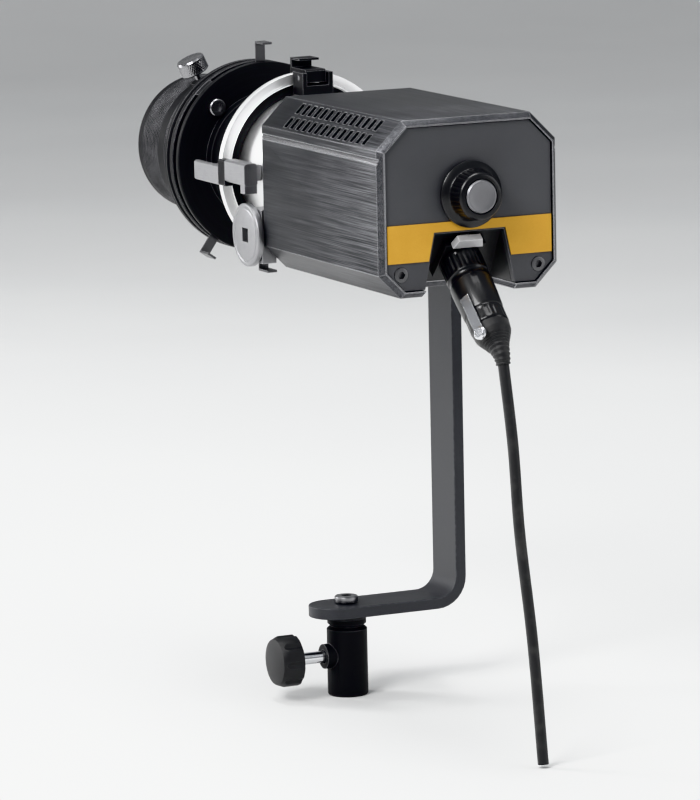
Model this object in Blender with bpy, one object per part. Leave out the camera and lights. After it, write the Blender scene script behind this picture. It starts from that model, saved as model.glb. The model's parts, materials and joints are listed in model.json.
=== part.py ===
"""Ellipsoidal LED spotlight: eight-sided lamp body, framing projector clipped to its front, L-shaped yoke.

World frame: metres, +Z up. The origin is the centre of the seat at the top of the stand socket's bore, on the
pan axis. The beam leaves along -Y, and the lamp's own left is +X.

Shapes are given in millimetres, and MM turns them into metres. The lamp and its projector are drawn in the
lamp frame: its origin is the centre of the housing's rear edge, y runs rearwards and z up.
"""

import math

import bmesh
import bpy
from mathutils import Vector

MM = 0.001

# Lamp housing
HOUSING_WIDTH = 120
HOUSING_HEIGHT = 107
HOUSING_LENGTH = 170
HOUSING_WALL = 4
FAN_Y, FAN_BLADES = -96, 7
UPPER_CHAMFER = 17
LOWER_CHAMFER = 14.5
RIM_BEVEL = 3.2
GAP = 0.3  # clearance between pieces that touch
VENTS_PER_ROW = 14
VENT_PITCH = 8.6
VENT_SIZE = (4.6, 8)
VENT_START = -140

# Where the lamp hangs
PIVOT_Y = -188  # lamp frame
PIVOT_Z = -34
AXIS_HEIGHT = 300  # optical axis above the spigot's seat
TILT_HEIGHT = AXIS_HEIGHT + PIVOT_Z

# Rear panel
PANEL_BACK, PANEL_FRONT = -1.5, -6
KNOB_HEIGHT = 7
KNOB_RADIUS = 20.3
BAND_TOP, BAND_BOTTOM, BAND_THICK = -9, -32, 0.5
NOTCH_TOP, NOTCH_HALF_TOP, NOTCH_HALF_BOTTOM = -16, 23, 31
SCREW_X, SCREW_Z = 46, -39

# Power connector: its axis leaves the recess rearwards and down
PLUG_ANGLE = 43
PLUG_Y, PLUG_Z = -19.1, -30.8
SOCKET_RADIUS = 11.9
PLUG_NOSE_RADIUS = 8.9
PLUG_LENGTH = 60  # of the shell, from the connector's face
CABLE_RADIUS = 3.4
CABLE_TOP = (-0.2, 42.2, -97)
STRAP_TURN = -30
STRAP_START, STRAP_SCREW = 40, 68  # along the plug's axis

# Front mount and projector, along the optical axis
FRAME_BACK, FRAME_FRONT = -170.3, -174
LUG_RADIUS = 17
BARREL_RADIUS = 47
RING_BACK, RING_FRONT = -231, -236
RING_RADIUS, RING_INNER = 61, 54
DRUM_RADIUS = 42
FLANGE_RADIUS = 62
FLANGE_BACK, SLOT_BACK, SLOT_FRONT = -297, -301.5, -306.7
RIM_GROOVE_BACK, RIM_GROOVE_FRONT, FLANGE_FRONT = -311.5, -315, -320.5
CLAW_INNER, CLAW_OUTER = 57, 66
CLAW_BACK, CLAW_FRONT = -184, -214.3
BLOCK_BACK, BLOCK_FRONT = -224.7, -262
LATCH_Y, LATCH_Z = -221, 58.5
LEVER_HALF_WIDTH = 7
SCREW_CIRCLE, SCREW_ANGLES = 49, (45, 165, 285)
GATE_RADIUS = 19.5
BLADE_THICK = 0.8
BLADE_PITCH = 1.15
BLADE_PARK = 20.5
BLADE_ANGLES = {"top": 0, "left": 145, "bottom": 180, "right": 270}
HANDLE_RADIUS, HANDLE_HALF_WIDTH, HANDLE_BACK = 75, 3.4, -291
LAND_ANGLES, LAND_WIDTH = (40, 160, 200, 320), 12
COLLAR_BACK, COLLAR_FRONT = -313.5, -360
TUBE_RADIUS = 45.2
TUBE_BACK, TUBE_FRONT = -318, -403
THUMB_ANGLE = 25
THUMB_Y = -352

# Yoke and stand socket, world frame
ARM_INNER, ARM_THICK, ARM_WIDTH = 70, 7.3, 34
FOOT_TOP = 24.3
FOOT_END = 25
BEND_RADIUS = 20
SOCKET_OUTER, SOCKET_BORE, SOCKET_DEPTH, SOCKET_TOP = 13, 8.1, 35, 15
CLAMP_HEIGHT = -9

MATERIALS = {
    "gunmetal": ((0.055, 0.056, 0.060), 0.38, 0.9),
    "panel_grey": ((0.075, 0.076, 0.080), 0.55, 0.3),
    "satin_black": ((0.012, 0.012, 0.014), 0.42, 0.5),
    "black_plastic": ((0.014, 0.014, 0.015), 0.5, 0.0),
    "gloss_black": ((0.008, 0.008, 0.009), 0.18, 0.0),
    "satin_aluminium": ((0.55, 0.55, 0.56), 0.34, 1.0),
    "bright_aluminium": ((0.80, 0.80, 0.82), 0.28, 1.0),
    "chrome": ((0.85, 0.86, 0.88), 0.08, 1.0),
    "steel": ((0.42, 0.42, 0.43), 0.3, 1.0),
    "yoke_paint": ((0.060, 0.061, 0.066), 0.42, 0.2),
    "amber_label": ((0.62, 0.38, 0.06), 0.5, 0.0),
    "cable_rubber": ((0.012, 0.012, 0.012), 0.55, 0.0),
    "lens_glass": ((0.85, 0.90, 0.92), 0.03, 0.0),
    "phosphor": ((0.90, 0.75, 0.25), 0.5, 0.0),
    "circuit_board": ((0.02, 0.10, 0.05), 0.5, 0.0),
}


def clear_scene():
    for thing in list(bpy.data.objects):
        bpy.data.objects.remove(thing, do_unlink=True)


def make_material(name):
    colour, roughness, metallic = MATERIALS[name]
    material = bpy.data.materials.new(name)
    material.use_nodes = True
    shader = material.node_tree.nodes["Principled BSDF"]
    shader.inputs["Base Color"].default_value = (*colour, 1)
    shader.inputs["Roughness"].default_value = roughness
    shader.inputs["Metallic"].default_value = metallic
    return material


def place(thing, parent, location=(0, 0, 0), rotation=(0, 0, 0)):
    thing.parent = parent
    thing.location = Vector(location) * MM
    thing.rotation_euler = [math.radians(angle) for angle in rotation]
    return thing


def make_empty(name, parent=None, location=(0, 0, 0), rotation=(0, 0, 0)):
    empty = bpy.data.objects.new(name, None)
    bpy.context.scene.collection.objects.link(empty)
    return place(empty, parent, location, rotation)


def make_object(name, bm, material):
    """A closed mesh in millimetres becomes an object in metres, with its faces pointing out."""
    bmesh.ops.remove_doubles(bm, verts=bm.verts, dist=1e-5)
    bmesh.ops.recalc_face_normals(bm, faces=bm.faces)
    bmesh.ops.scale(bm, vec=(MM, MM, MM), verts=bm.verts)
    mesh = bpy.data.meshes.new(name)
    bm.to_mesh(mesh)
    bm.free()
    mesh.shade_smooth()
    mesh.set_sharp_from_angle(angle=math.radians(32))
    if material:
        mesh.materials.append(bpy.data.materials[material])
    thing = bpy.data.objects.new(name, mesh)
    bpy.context.scene.collection.objects.link(thing)
    return thing


def turned(name, profile, material=None, axis="Y", segments=40, cut_angle=360):
    """A solid of revolution about a local axis. The profile is a closed list of (radius, along the axis)."""
    spots = {
        "X": lambda radius, along: (along, radius, 0),
        "Y": lambda radius, along: (radius, along, 0),
        "Z": lambda radius, along: (radius, 0, along),
    }[axis]
    direction = {"X": (1, 0, 0), "Y": (0, 1, 0), "Z": (0, 0, 1)}[axis]
    bm = bmesh.new()
    points = [bm.verts.new(spots(radius, along)) for radius, along in profile]
    edges = [bm.edges.new((a, b)) for a, b in zip(points, points[1:] + points[:1])]
    bmesh.ops.spin(
        bm,
        geom=points + edges,
        cent=(0, 0, 0),
        axis=direction,
        angle=math.radians(cut_angle),
        steps=segments,
        use_merge=cut_angle == 360,
    )
    return make_object(name, bm, material)


def prism(name, outline, low, high, material=None, axis="Z"):
    """A flat outline drawn out along an axis. Its two numbers are the other axes in X, Y, Z order."""
    spots = {
        "X": lambda a, b, along: (along, a, b),
        "Y": lambda a, b, along: (a, along, b),
        "Z": lambda a, b, along: (a, b, along),
    }[axis]
    bm = bmesh.new()
    ends = [[bm.verts.new(spots(a, b, along)) for a, b in outline] for along in (low, high)]
    for end in ends:
        bm.faces.new(end)
    for i in range(len(outline)):
        j = (i + 1) % len(outline)
        bm.faces.new((ends[0][i], ends[0][j], ends[1][j], ends[1][i]))
    return make_object(name, bm, material)


def lofted(name, rings, material=None, closed=False):
    """Skin over rings of equal length. A closed loft joins its last ring to its first; others are capped."""
    bm = bmesh.new()
    loops = [[bm.verts.new(point) for point in ring] for ring in rings]
    pairs = list(zip(loops, loops[1:] + loops[:1])) if closed else list(zip(loops, loops[1:]))
    for first, second in pairs:
        for i in range(len(first)):
            j = (i + 1) % len(first)
            bm.faces.new((first[i], first[j], second[j], second[i]))
    if not closed:
        bm.faces.new(loops[0])
        bm.faces.new(loops[-1])
    return make_object(name, bm, material)


def boxed(name, low, high, material=None):
    outline = [(low[0], low[1]), (high[0], low[1]), (high[0], high[1]), (low[0], high[1])]
    return prism(name, outline, low[2], high[2], material)


def many_boxes(name, boxes):
    """One mesh of separate boxes, each (low corner, high corner)."""
    bm = bmesh.new()
    for low, high in boxes:
        corners = bmesh.ops.create_cube(bm, size=1)["verts"]
        for corner in corners:
            for k in range(3):
                corner.co[k] = low[k] if corner.co[k] < 0 else high[k]
    return make_object(name, bm, None)


def apply_tool(target, tool, operation):
    tool.hide_render = True
    tool.display_type = "WIRE"
    modifier = target.modifiers.new(tool.name, "BOOLEAN")
    modifier.operation = operation
    modifier.solver = "EXACT"
    modifier.object = tool


def cut(target, *tools):
    for tool in tools:
        apply_tool(target, tool, "DIFFERENCE")


def join(target, *tools):
    for tool in tools:
        apply_tool(target, tool, "UNION")


def keep_inside(target, tool):
    apply_tool(target, tool, "INTERSECT")


def octagon(width, height, upper, lower, inset=0):
    """Rectangle with 45 degree corners, (x, z) points, seen from the rear."""
    half_width, half_height = width / 2 - inset, height / 2 - inset
    shrink = inset * (2 - math.sqrt(2))
    top, bottom = upper - shrink, lower - shrink
    return [
        (half_width, half_height - top),
        (half_width - top, half_height),
        (-half_width + top, half_height),
        (-half_width, half_height - top),
        (-half_width, -half_height + bottom),
        (-half_width + bottom, -half_height),
        (half_width - bottom, -half_height),
        (half_width, -half_height + bottom),
    ]


def housing_outline(inset=0):
    return octagon(HOUSING_WIDTH, HOUSING_HEIGHT, UPPER_CHAMFER, LOWER_CHAMFER, inset)


def arc(centre, radius, start, end, steps):
    """Points on a circle in a plane, angles in degrees from the first axis."""
    found = []
    for i in range(steps + 1):
        angle = math.radians(start + (end - start) * i / steps)
        found.append((centre[0] + radius * math.cos(angle), centre[1] + radius * math.sin(angle)))
    return found


def circle(radius, steps, centre=(0, 0)):
    return arc(centre, radius, 0, 360 - 360 / steps, steps - 1)


def rounded_box(name, low, high, chamfer, material, axis):
    """A block whose outline across the axis has cut corners."""
    a0, b0, a1, b1 = low[0], low[1], high[0], high[1]
    outline = [(a0 + chamfer, b0), (a1 - chamfer, b0), (a1, b0 + chamfer), (a1, b1 - chamfer)]
    outline += [(a1 - chamfer, b1), (a0 + chamfer, b1), (a0, b1 - chamfer), (a0, b0 + chamfer)]
    return prism(name, outline, low[2], high[2], material, axis)


def tube_along(name, path, radii, material, sides=12):
    """A round bar that follows a path of points, with its own radius at each."""
    points = [Vector(point) for point in path]
    across = Vector((1, 0, 0))
    rings = []
    for i, point in enumerate(points):
        ahead = (points[min(i + 1, len(points) - 1)] - points[max(i - 1, 0)]).normalized()
        across = (across - ahead * across.dot(ahead)).normalized()
        other = ahead.cross(across)
        ring = [point + (across * a + other * b) * radii[i] for a, b in circle(1, sides)]
        rings.append(ring)
    return lofted(name, rings, material)


def smooth_path(knots, steps):
    """Points on a Catmull-Rom curve through the knots."""
    spots = [Vector(knot) for knot in knots]
    spots = [2 * spots[0] - spots[1], *spots, 2 * spots[-1] - spots[-2]]
    found = []
    for a, b, c, d in zip(spots, spots[1:], spots[2:], spots[3:]):
        for i in range(steps):
            t = i / steps
            curve = 2 * a - 5 * b + 4 * c - d
            twist = 3 * b - a - 3 * c + d
            found.append(0.5 * (2 * b + (c - a) * t + curve * t**2 + twist * t**3))
    return [*found, spots[-2]]


# Stand socket, clamp screw and yoke


def build_stand_socket(stand):
    """Turned socket: a bore with a flat seat for the stand's spigot, and a blind hole for the pan bolt."""
    mouth = -SOCKET_DEPTH
    profile = [
        (SOCKET_BORE, 0), (SOCKET_BORE, mouth + 0.8), (SOCKET_BORE + 0.8, mouth), (SOCKET_OUTER - 0.8, mouth),
        (SOCKET_OUTER, mouth + 0.8), (SOCKET_OUTER, 8), (10.5, 10), (12.5, 11.5), (12.5, SOCKET_TOP),
        (4.4, SOCKET_TOP), (4.4, 4), (0, 4), (0, 0),
    ]
    receiver = turned("receiver_body", profile, "satin_black", "Z", 28)
    boss = turned("boss_for_clamp", [(0, 9.5), (8, 9.5), (8, 17), (0, 17)], None, "X", 20)
    bore = turned("bore_for_clamp", [(0, 2), (4.3, 2), (4.3, 19), (0, 19)], None, "X", 16)
    clear = turned("spigot_bore", [(0, -33), (SOCKET_BORE, -33), (SOCKET_BORE, -2), (0, -2)], None, "Z", 28)
    for tool in (boss, bore):
        place(tool, stand, (0, 0, CLAMP_HEIGHT))
    join(receiver, boss)
    cut(receiver, clear, bore)
    place(receiver, stand)
    place(clear, stand)


def build_clamp(clamp):
    """The clamp screw and its knob turn about the X axis at the clamp's height."""
    screw = [(0, 8.6), (3.2, 8.6), (3.9, 9.4), (3.9, 42), (0, 42)]
    place(turned("clamp_screw", screw, "chrome", "X", 16), clamp)
    grip = [(4.3, 34), (9, 34), (16.4, 37), (16.4, 47), (14.6, 51), (9, 52.5), (0, 52.5)]
    knob = turned("clamp_knob", [*grip, (0, 42.5), (4.3, 42.5)], "black_plastic", "X", 24)
    scallops = make_scallops("clamp_knob_scallops", 8, 18.4, 3.4, 33, 49)
    place(scallops, clamp)
    cut(knob, scallops)
    place(knob, clamp)


def make_scallops(name, count, ring_radius, radius, low, high):
    """Round bars parallel to X, set in a ring, that cut finger grips into a knob."""
    bm = bmesh.new()
    for i in range(count):
        angle = math.tau * i / count
        centre = (ring_radius * math.cos(angle), ring_radius * math.sin(angle))
        ends = [[bm.verts.new((x, y, z)) for y, z in circle(radius, 8, centre)] for x in (low, high)]
        for end in ends:
            bm.faces.new(end)
        for k in range(8):
            m = (k + 1) % 8
            bm.faces.new((ends[0][k], ends[0][m], ends[1][m], ends[1][k]))
    return make_object(name, bm, None)


def build_yoke(yoke):
    """A flat bar: upright on the -X side with a round top, a bend, and a foot with a round end."""
    outer = ARM_INNER + ARM_THICK
    foot_bottom = FOOT_TOP - ARM_THICK
    outer_bend = arc((-outer + BEND_RADIUS, foot_bottom + BEND_RADIUS), BEND_RADIUS, 180, 270, 8)
    inner_radius = BEND_RADIUS - ARM_THICK
    inner_bend = arc((-outer + BEND_RADIUS, foot_bottom + BEND_RADIUS), inner_radius, 270, 180, 8)
    top = TILT_HEIGHT + ARM_WIDTH / 2
    outside = [(-outer, top), *outer_bend, (FOOT_END, foot_bottom)]
    inside = [(FOOT_END, FOOT_TOP), *inner_bend, (-ARM_INNER, top)]
    arm = prism("yoke_arm", outside + inside, -ARM_WIDTH / 2, ARM_WIDTH / 2, "yoke_paint", "Y")
    half = ARM_WIDTH / 2
    top_shape = [(-half - 1, foot_bottom - 5), (half + 1, foot_bottom - 5), (half + 1, TILT_HEIGHT)]
    top_shape += [*arc((0, TILT_HEIGHT), half, 0, 180, 16), (-half - 1, TILT_HEIGHT)]
    top_keeper = prism("arm_top_shape", top_shape, -outer - 4, FOOT_END + 4, None, "X")
    foot_shape = [(-outer - 2, -half - 1), (FOOT_END - half, -half - 1)]
    foot_shape += [*arc((FOOT_END - half, 0), half, -90, 90, 16)]
    foot_shape += [(FOOT_END - half, half + 1), (-outer - 2, half + 1)]
    foot_keeper = prism("arm_foot_shape", foot_shape, foot_bottom - 4, top + 4, None, "Z")
    for keeper in (top_keeper, foot_keeper):
        place(keeper, yoke)
        keep_inside(arm, keeper)
    pan_hole = turned("pan_hole", [(0, 12), (4.4, 12), (4.4, 30), (0, 30)], None, "Z", 16)
    tilt_hole = turned("tilt_hole", [(0, -82), (4.4, -82), (4.4, -66), (0, -66)], None, "X", 16)
    place(pan_hole, yoke)
    place(tilt_hole, yoke, (0, 0, TILT_HEIGHT))
    cut(arm, pan_hole, tilt_hole)
    place(arm, yoke)
    low, high = SOCKET_TOP + GAP, foot_bottom - GAP
    washer = [(4.6, low), (13.5, low), (13.5, high), (4.6, high)]
    place(turned("pan_washer", washer, "black_plastic", "Z", 24), yoke)
    head = FOOT_TOP + GAP
    bolt = [(0, 5), (3.9, 5), (3.9, head), (7.6, head), (7.6, head + 3.8), (6.8, head + 4.6)]
    bolt += [(3, head + 4.6), (3, head + 2), (0, head + 2)]
    place(turned("pan_bolt", bolt, "steel", "Z", 16), yoke)


def build_tilt_hardware(yoke, lock):
    """Friction washer and bolt between lamp and arm, and the lever knob outside it, on the tilt axis."""
    washer = [(4.6, -69.7), (16, -69.7), (18.5, -67.5), (18.5, -65), (4.6, -65)]
    place(turned("tilt_washer", washer, "black_plastic", "X", 24), yoke, (0, 0, TILT_HEIGHT))
    bolt = [(0, -90), (3.9, -90), (3.9, -50.2), (7, -50.2), (7, -46), (0, -46)]
    place(turned("tilt_bolt", bolt, "steel", "X", 16), yoke, (0, 0, TILT_HEIGHT))
    hub = [(4.3, -77.7), (9, -77.7), (10, -79.5), (10, -91), (8.5, -93), (0, -93), (0, -90.4), (4.3, -90.4)]
    hub = turned("tilt_lock_knob", hub, "black_plastic", "X", 20)
    lever_outline = [(-5.5, 6), (5.5, 6), (4.2, 40), *arc((0, 40), 4.2, 0, 180, 8), (-4.2, 40)]
    lever = prism("tilt_lock_lever", lever_outline, -90.5, -82.5, None, "X")
    place(lever, lock)
    join(hub, lever)
    place(hub, lock)


# Lamp housing and what it holds


def trapezoid(extra=0):
    """The recess seen from the rear, (x, z), drawn out below the housing."""
    slope = (NOTCH_HALF_BOTTOM - NOTCH_HALF_TOP) / (HOUSING_HEIGHT / 2 + NOTCH_TOP)
    bottom = -HOUSING_HEIGHT / 2 - 8
    half_bottom = NOTCH_HALF_TOP + slope * (NOTCH_TOP - bottom)
    top, half_top = NOTCH_TOP + extra, NOTCH_HALF_TOP + (1 - slope) * extra
    half_bottom += extra
    return [(half_top, top), (-half_top, top), (-half_bottom, bottom), (half_bottom, bottom)]


def below_slope(rear, front_z, lift=0):
    """Triangle (y, z) under the recess's sloping ceiling, from the rear face down to a lower edge."""
    rise = 1 / math.tan(math.radians(PLUG_ANGLE))
    start_y, start_z = PANEL_FRONT - GAP, NOTCH_TOP - 1
    lift_z = lift / math.sin(math.radians(PLUG_ANGLE))
    rear_z = start_z + lift_z + rise * (rear - start_y)
    front_y = start_y + (front_z - start_z - lift_z) / rise
    return [(rear, rear_z), (rear, front_z), (front_y, front_z)]


def recess_tool(name):
    """The empty space of the recess: the trapezoid, under the sloping ceiling."""
    space = prism(name, trapezoid(), -60, 4, None, "Y")
    slope = prism(name + "_slope", below_slope(6, -70), -45, 45, None, "X")
    keep_inside(space, slope)
    return space, slope


def build_housing(lamp):
    rear = [(x, 0, z) for x, z in housing_outline(RIM_BEVEL)]
    rear_side = [(x, -RIM_BEVEL - 1, z) for x, z in housing_outline()]
    front_side = [(x, -HOUSING_LENGTH + 1, z) for x, z in housing_outline()]
    front = [(x, -HOUSING_LENGTH, z) for x, z in housing_outline(1)]
    inner_front = [(x, -HOUSING_LENGTH, z) for x, z in housing_outline(HOUSING_WALL)]
    inner_rear = [(x, 0, z) for x, z in housing_outline(HOUSING_WALL)]
    rings = [rear, rear_side, front_side, front, inner_front, inner_rear]
    shell = lofted("housing_shell", rings, "gunmetal", True)
    for side in (1, -1):
        vents = []
        for i in range(VENTS_PER_ROW):
            y = VENT_START + VENT_PITCH * i
            for row in (-5.6, 5.6):
                low = (row - VENT_SIZE[1] / 2, y, -7)
                high = (row + VENT_SIZE[1] / 2, y + VENT_SIZE[0], 7)
                vents.append((low, high))
        name = "left" if side > 0 else "right"
        tool = many_boxes("vent_tool_" + name, vents)
        middle = (HOUSING_WIDTH - UPPER_CHAMFER) / 2
        place(tool, lamp, (side * middle, 0, (HOUSING_HEIGHT - UPPER_CHAMFER) / 2), (0, 45 * side, 0))
        groove_low = (min(side * 59, side * 62), -HOUSING_LENGTH - 1, 30)
        groove_high = (max(side * 59, side * 62), 1, 31.4)
        groove = many_boxes("groove_tool_" + name, [(groove_low, groove_high)])
        place(groove, lamp)
        cut(shell, tool, groove)
    space, slope = recess_tool("recess_in_shell")
    place(space, lamp)
    place(slope, lamp)
    cut(shell, space)
    place(shell, lamp)


def build_rear_panel(lamp):
    outline = housing_outline(HOUSING_WALL + 0.5)
    panel = prism("rear_panel", outline, PANEL_FRONT, PANEL_BACK, "panel_grey", "Y")
    notch = prism("notch_tool", trapezoid(), -20, 10, None, "Y")
    shaft_hole = turned("shaft_hole", [(0, -9), (4.2, -9), (4.2, 2), (0, 2)], None, "Y", 16)
    place(notch, lamp)
    place(shaft_hole, lamp, (0, 0, KNOB_HEIGHT))
    cut(panel, notch, shaft_hole)
    for side, name in ((1, "left"), (-1, "right")):
        seat = [(0, -9), (2.7, -9), (2.7, -4.2), (4.9, -1.2), (4.9, 1), (0, 1)]
        seat = turned("screw_seat_" + name, seat, None, "Y", 16)
        place(seat, lamp, (side * SCREW_X, 0, SCREW_Z))
        cut(panel, seat)
        screw = [(0, -14), (2.3, -14), (2.3, -4.2), (4.5, -1.7), (4.5, -1.1), (2.2, -1.1), (2.2, -3), (0, -3)]
        screw = turned("panel_screw_" + name, screw, "steel", "Y", 12)
        place(screw, lamp, (side * SCREW_X, 0, SCREW_Z))
    place(panel, lamp)
    half = HOUSING_WIDTH / 2 - HOUSING_WALL - 1
    corners = [(-half, BAND_BOTTOM), (half, BAND_BOTTOM), (half, BAND_TOP), (-half, BAND_TOP)]
    back = PANEL_BACK + GAP
    band = prism("label_band", corners, back, back + BAND_THICK, "amber_label", "Y")
    band_notch = prism("band_notch", trapezoid(1.2), -20, 10, None, "Y")
    place(band_notch, lamp)
    cut(band, band_notch)
    place(band, lamp)


def build_recess(lamp, plug_axis, latch):
    """The tray that lines the recess, the connector on its sloping face, and the connector's push tab."""
    floor = -HOUSING_HEIGHT / 2 + HOUSING_WALL + GAP
    tray = prism("socket_tray", trapezoid(2.5), -60, PANEL_FRONT - GAP, "black_plastic", "Y")
    outer = prism("tray_outer", below_slope(PANEL_FRONT - GAP, floor, 2.5), -45, 45, None, "X")
    space, slope = recess_tool("recess_in_tray")
    socket_hole = turned("socket_hole", [(0, -9), (12.2, -9), (12.2, 5), (0, 5)], None, "Z", 24)
    stem_hole = boxed("stem_hole", (-3.3, -17.4, -8), (3.3, -14, 4))
    for tool in (outer, space, slope):
        place(tool, lamp)
    for tool in (socket_hole, stem_hole):
        place(tool, plug_axis)
    keep_inside(tray, outer)
    cut(tray, space, socket_hole, stem_hole)
    place(tray, lamp)
    barrel = [(SOCKET_RADIUS - 0.6, -20), (SOCKET_RADIUS, -19.4), (SOCKET_RADIUS, 2), (9.3, 2), (9.3, -17.5)]
    barrel += [(0, -17.5), (0, -20)]
    socket = turned("power_socket", barrel, "black_plastic", "Z", 24)
    plate = boxed("socket_plate", (-13.5, -13.4, GAP), (13.5, 15.2, 5.2))
    mouth = turned("socket_mouth", [(0, -3), (9.3, -3), (9.3, 8), (0, 8)], None, "Z", 24)
    for tool in (plate, mouth):
        place(tool, plug_axis)
    join(socket, plate)
    cut(socket, mouth)
    place(socket, plug_axis)
    tab_outline = [(-7.8, -20.9), (7.8, -20.9), (10, -13.9), (-10, -13.9)]
    tab = prism("socket_latch", tab_outline, 3.4, 8, "bright_aluminium", "Z")
    stem = boxed("latch_stem", (-2.9, -17, -5), (2.9, -14.4, 5))
    place(stem, latch)
    join(tab, stem)
    place(tab, latch)


def build_dimmer(lamp, dimmer):
    """Knob with its metal cap and shaft, and the encoder behind the panel."""
    back = PANEL_BACK + 2
    skirt = [(3.4, back), (KNOB_RADIUS, back), (KNOB_RADIUS, 2.6), (17.2, 4.4)]
    grip = [(15.8, 5), (14.4, 15), (13.4, 16.2), (10.5, 16.2)]
    seat = [(10.5, 14.4), (0, 14.4), (0, 12.4), (3.4, 12.4)]
    knob = turned("dimmer_knob", skirt + grip + seat, "gloss_black", "Y", 36)
    place(knob, dimmer)
    cap = [(0, 14.7), (10.1, 14.7), (10.1, 16.4), (9.5, 17), (0, 17)]
    place(turned("dimmer_cap", cap, "satin_aluminium", "Y", 28), dimmer)
    shaft = [(0, -12.5), (3, -12.5), (3, 12), (0, 12)]
    place(turned("dimmer_shaft", shaft, "steel", "Y", 12), dimmer)
    case = rounded_box("dimmer_encoder", (-8, -8, -22), (8, 8, PANEL_FRONT - GAP), 1.5, "black_plastic", "Y")
    bore = turned("encoder_bore", [(0, -14), (3.4, -14), (3.4, 0), (0, 0)], None, "Y", 12)
    for thing in (case, bore):
        place(thing, lamp, (0, 0, KNOB_HEIGHT))
    cut(case, bore)


def build_engine(lamp, fan):
    """What the housing holds: LED module, heat sink, fan and driver board."""
    build_heat_sink(lamp)
    build_led(lamp)
    build_fan(lamp, fan)
    build_driver(lamp)


def build_heat_sink(lamp):
    half, front, root, tip = 50, -164, -154, -112
    count, pitch, thick = 11, 9.6, 2.4
    first = half - (2 * half - (count - 1) * pitch - thick) / 2
    outline = [(-half, front), (half, front), (half, root)]
    for i in range(count):
        x = first - i * pitch
        outline += [(x, root), (x, tip), (x - thick, tip), (x - thick, root)]
    outline.append((-half, root))
    place(prism("heat_sink", outline, -40, 40, "satin_aluminium", "Z"), lamp)


def build_led(lamp):
    """The LED module on the heat sink's front, and the reflector that gathers its light into the barrel."""
    module = rounded_box("led_module", (-14, -14, -166.5), (14, 14, -164.3), 2, "phosphor", "Y")
    dome = turned("led_emitter", [(0, -166), (9.5, -166), (9.5, -167.2), (0, -167.4)], None, "Y", 20)
    place(dome, lamp)
    join(module, dome)
    place(module, lamp)
    outside = [(13, -168.2), (14.2, -168.2), (24, -182), (33.5, -206), (33.5, -209)]
    inside = [(31.8, -209), (31.8, -206.5), (22.5, -183)]
    place(turned("reflector", outside + inside, "bright_aluminium", "Y", 28), lamp)


def build_fan(lamp, fan):
    frame = rounded_box("fan_frame", (-40, -40, -104), (40, 40, -86), 4, "black_plastic", "Y")
    duct = [(0, -107), (37.5, -107), (37.5, -88.5), (14, -88.5), (14, -83), (0, -83)]
    duct = turned("fan_duct", duct, None, "Y", 28)
    opening = turned("fan_opening", [(16, -90), (37.5, -90), (37.5, -83), (16, -83)], None, "Y", 28)
    spokes = many_boxes("fan_spokes", [((-39, -88.4, -2.5), (39, -86, 2.5))])
    hub = turned("fan_hub", [(0, -88.4), (15.5, -88.4), (15.5, -86), (0, -86)], None, "Y", 20)
    for tool in (duct, opening, spokes, hub):
        place(tool, lamp)
    cut(frame, duct, opening)
    join(frame, spokes, hub)
    place(frame, lamp)
    rotor = turned("fan_rotor", [(0, -7.5), (14, -7.5), (14, 6.6), (0, 6.6)], "black_plastic", "Y", 21)
    for i in range(FAN_BLADES):
        blade = lofted("fan_blade_" + str(i), [blade_section(radius) for radius in (12, 24, 36)])
        place(blade, fan, (0, 0, 0), (0, 360 * i / FAN_BLADES, 0))
        join(rotor, blade)
    place(rotor, fan)


def blade_section(radius):
    """One twisted cross-section of a fan blade, at a distance from the hub's axis."""
    lean = math.radians(50 - radius * 0.6)
    half, thick = 3 + radius * 0.15, 0.6
    corners = [(-half, -thick), (half, -thick), (half, thick), (-half, thick)]
    along, up = math.cos(lean), math.sin(lean)
    return [(a * along - b * up, a * up + b * along, radius) for a, b in corners]


def build_driver(lamp):
    outline = [(-44, -34), (44, -34), (44, 38), (-44, 38)]
    board = prism("driver_board", outline, -66, -64.2, "circuit_board", "Y")
    transformer = ((-36, -65, 8), (-12, -46, 30))
    relay = ((-4, -65, 12), (18, -52, 32))
    heat_spreader = ((24, -65, -6), (38, -55, 30))
    lumps = many_boxes("driver_parts", [transformer, relay, heat_spreader])
    can = turned("driver_can", [(0, -65), (8, -65), (8, -44), (0, -44)], None, "Y", 12)
    place(lumps, lamp)
    place(can, lamp, (-30, 0, -14))
    join(board, lumps, can)
    place(board, lamp)


# Power plug and cable


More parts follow.
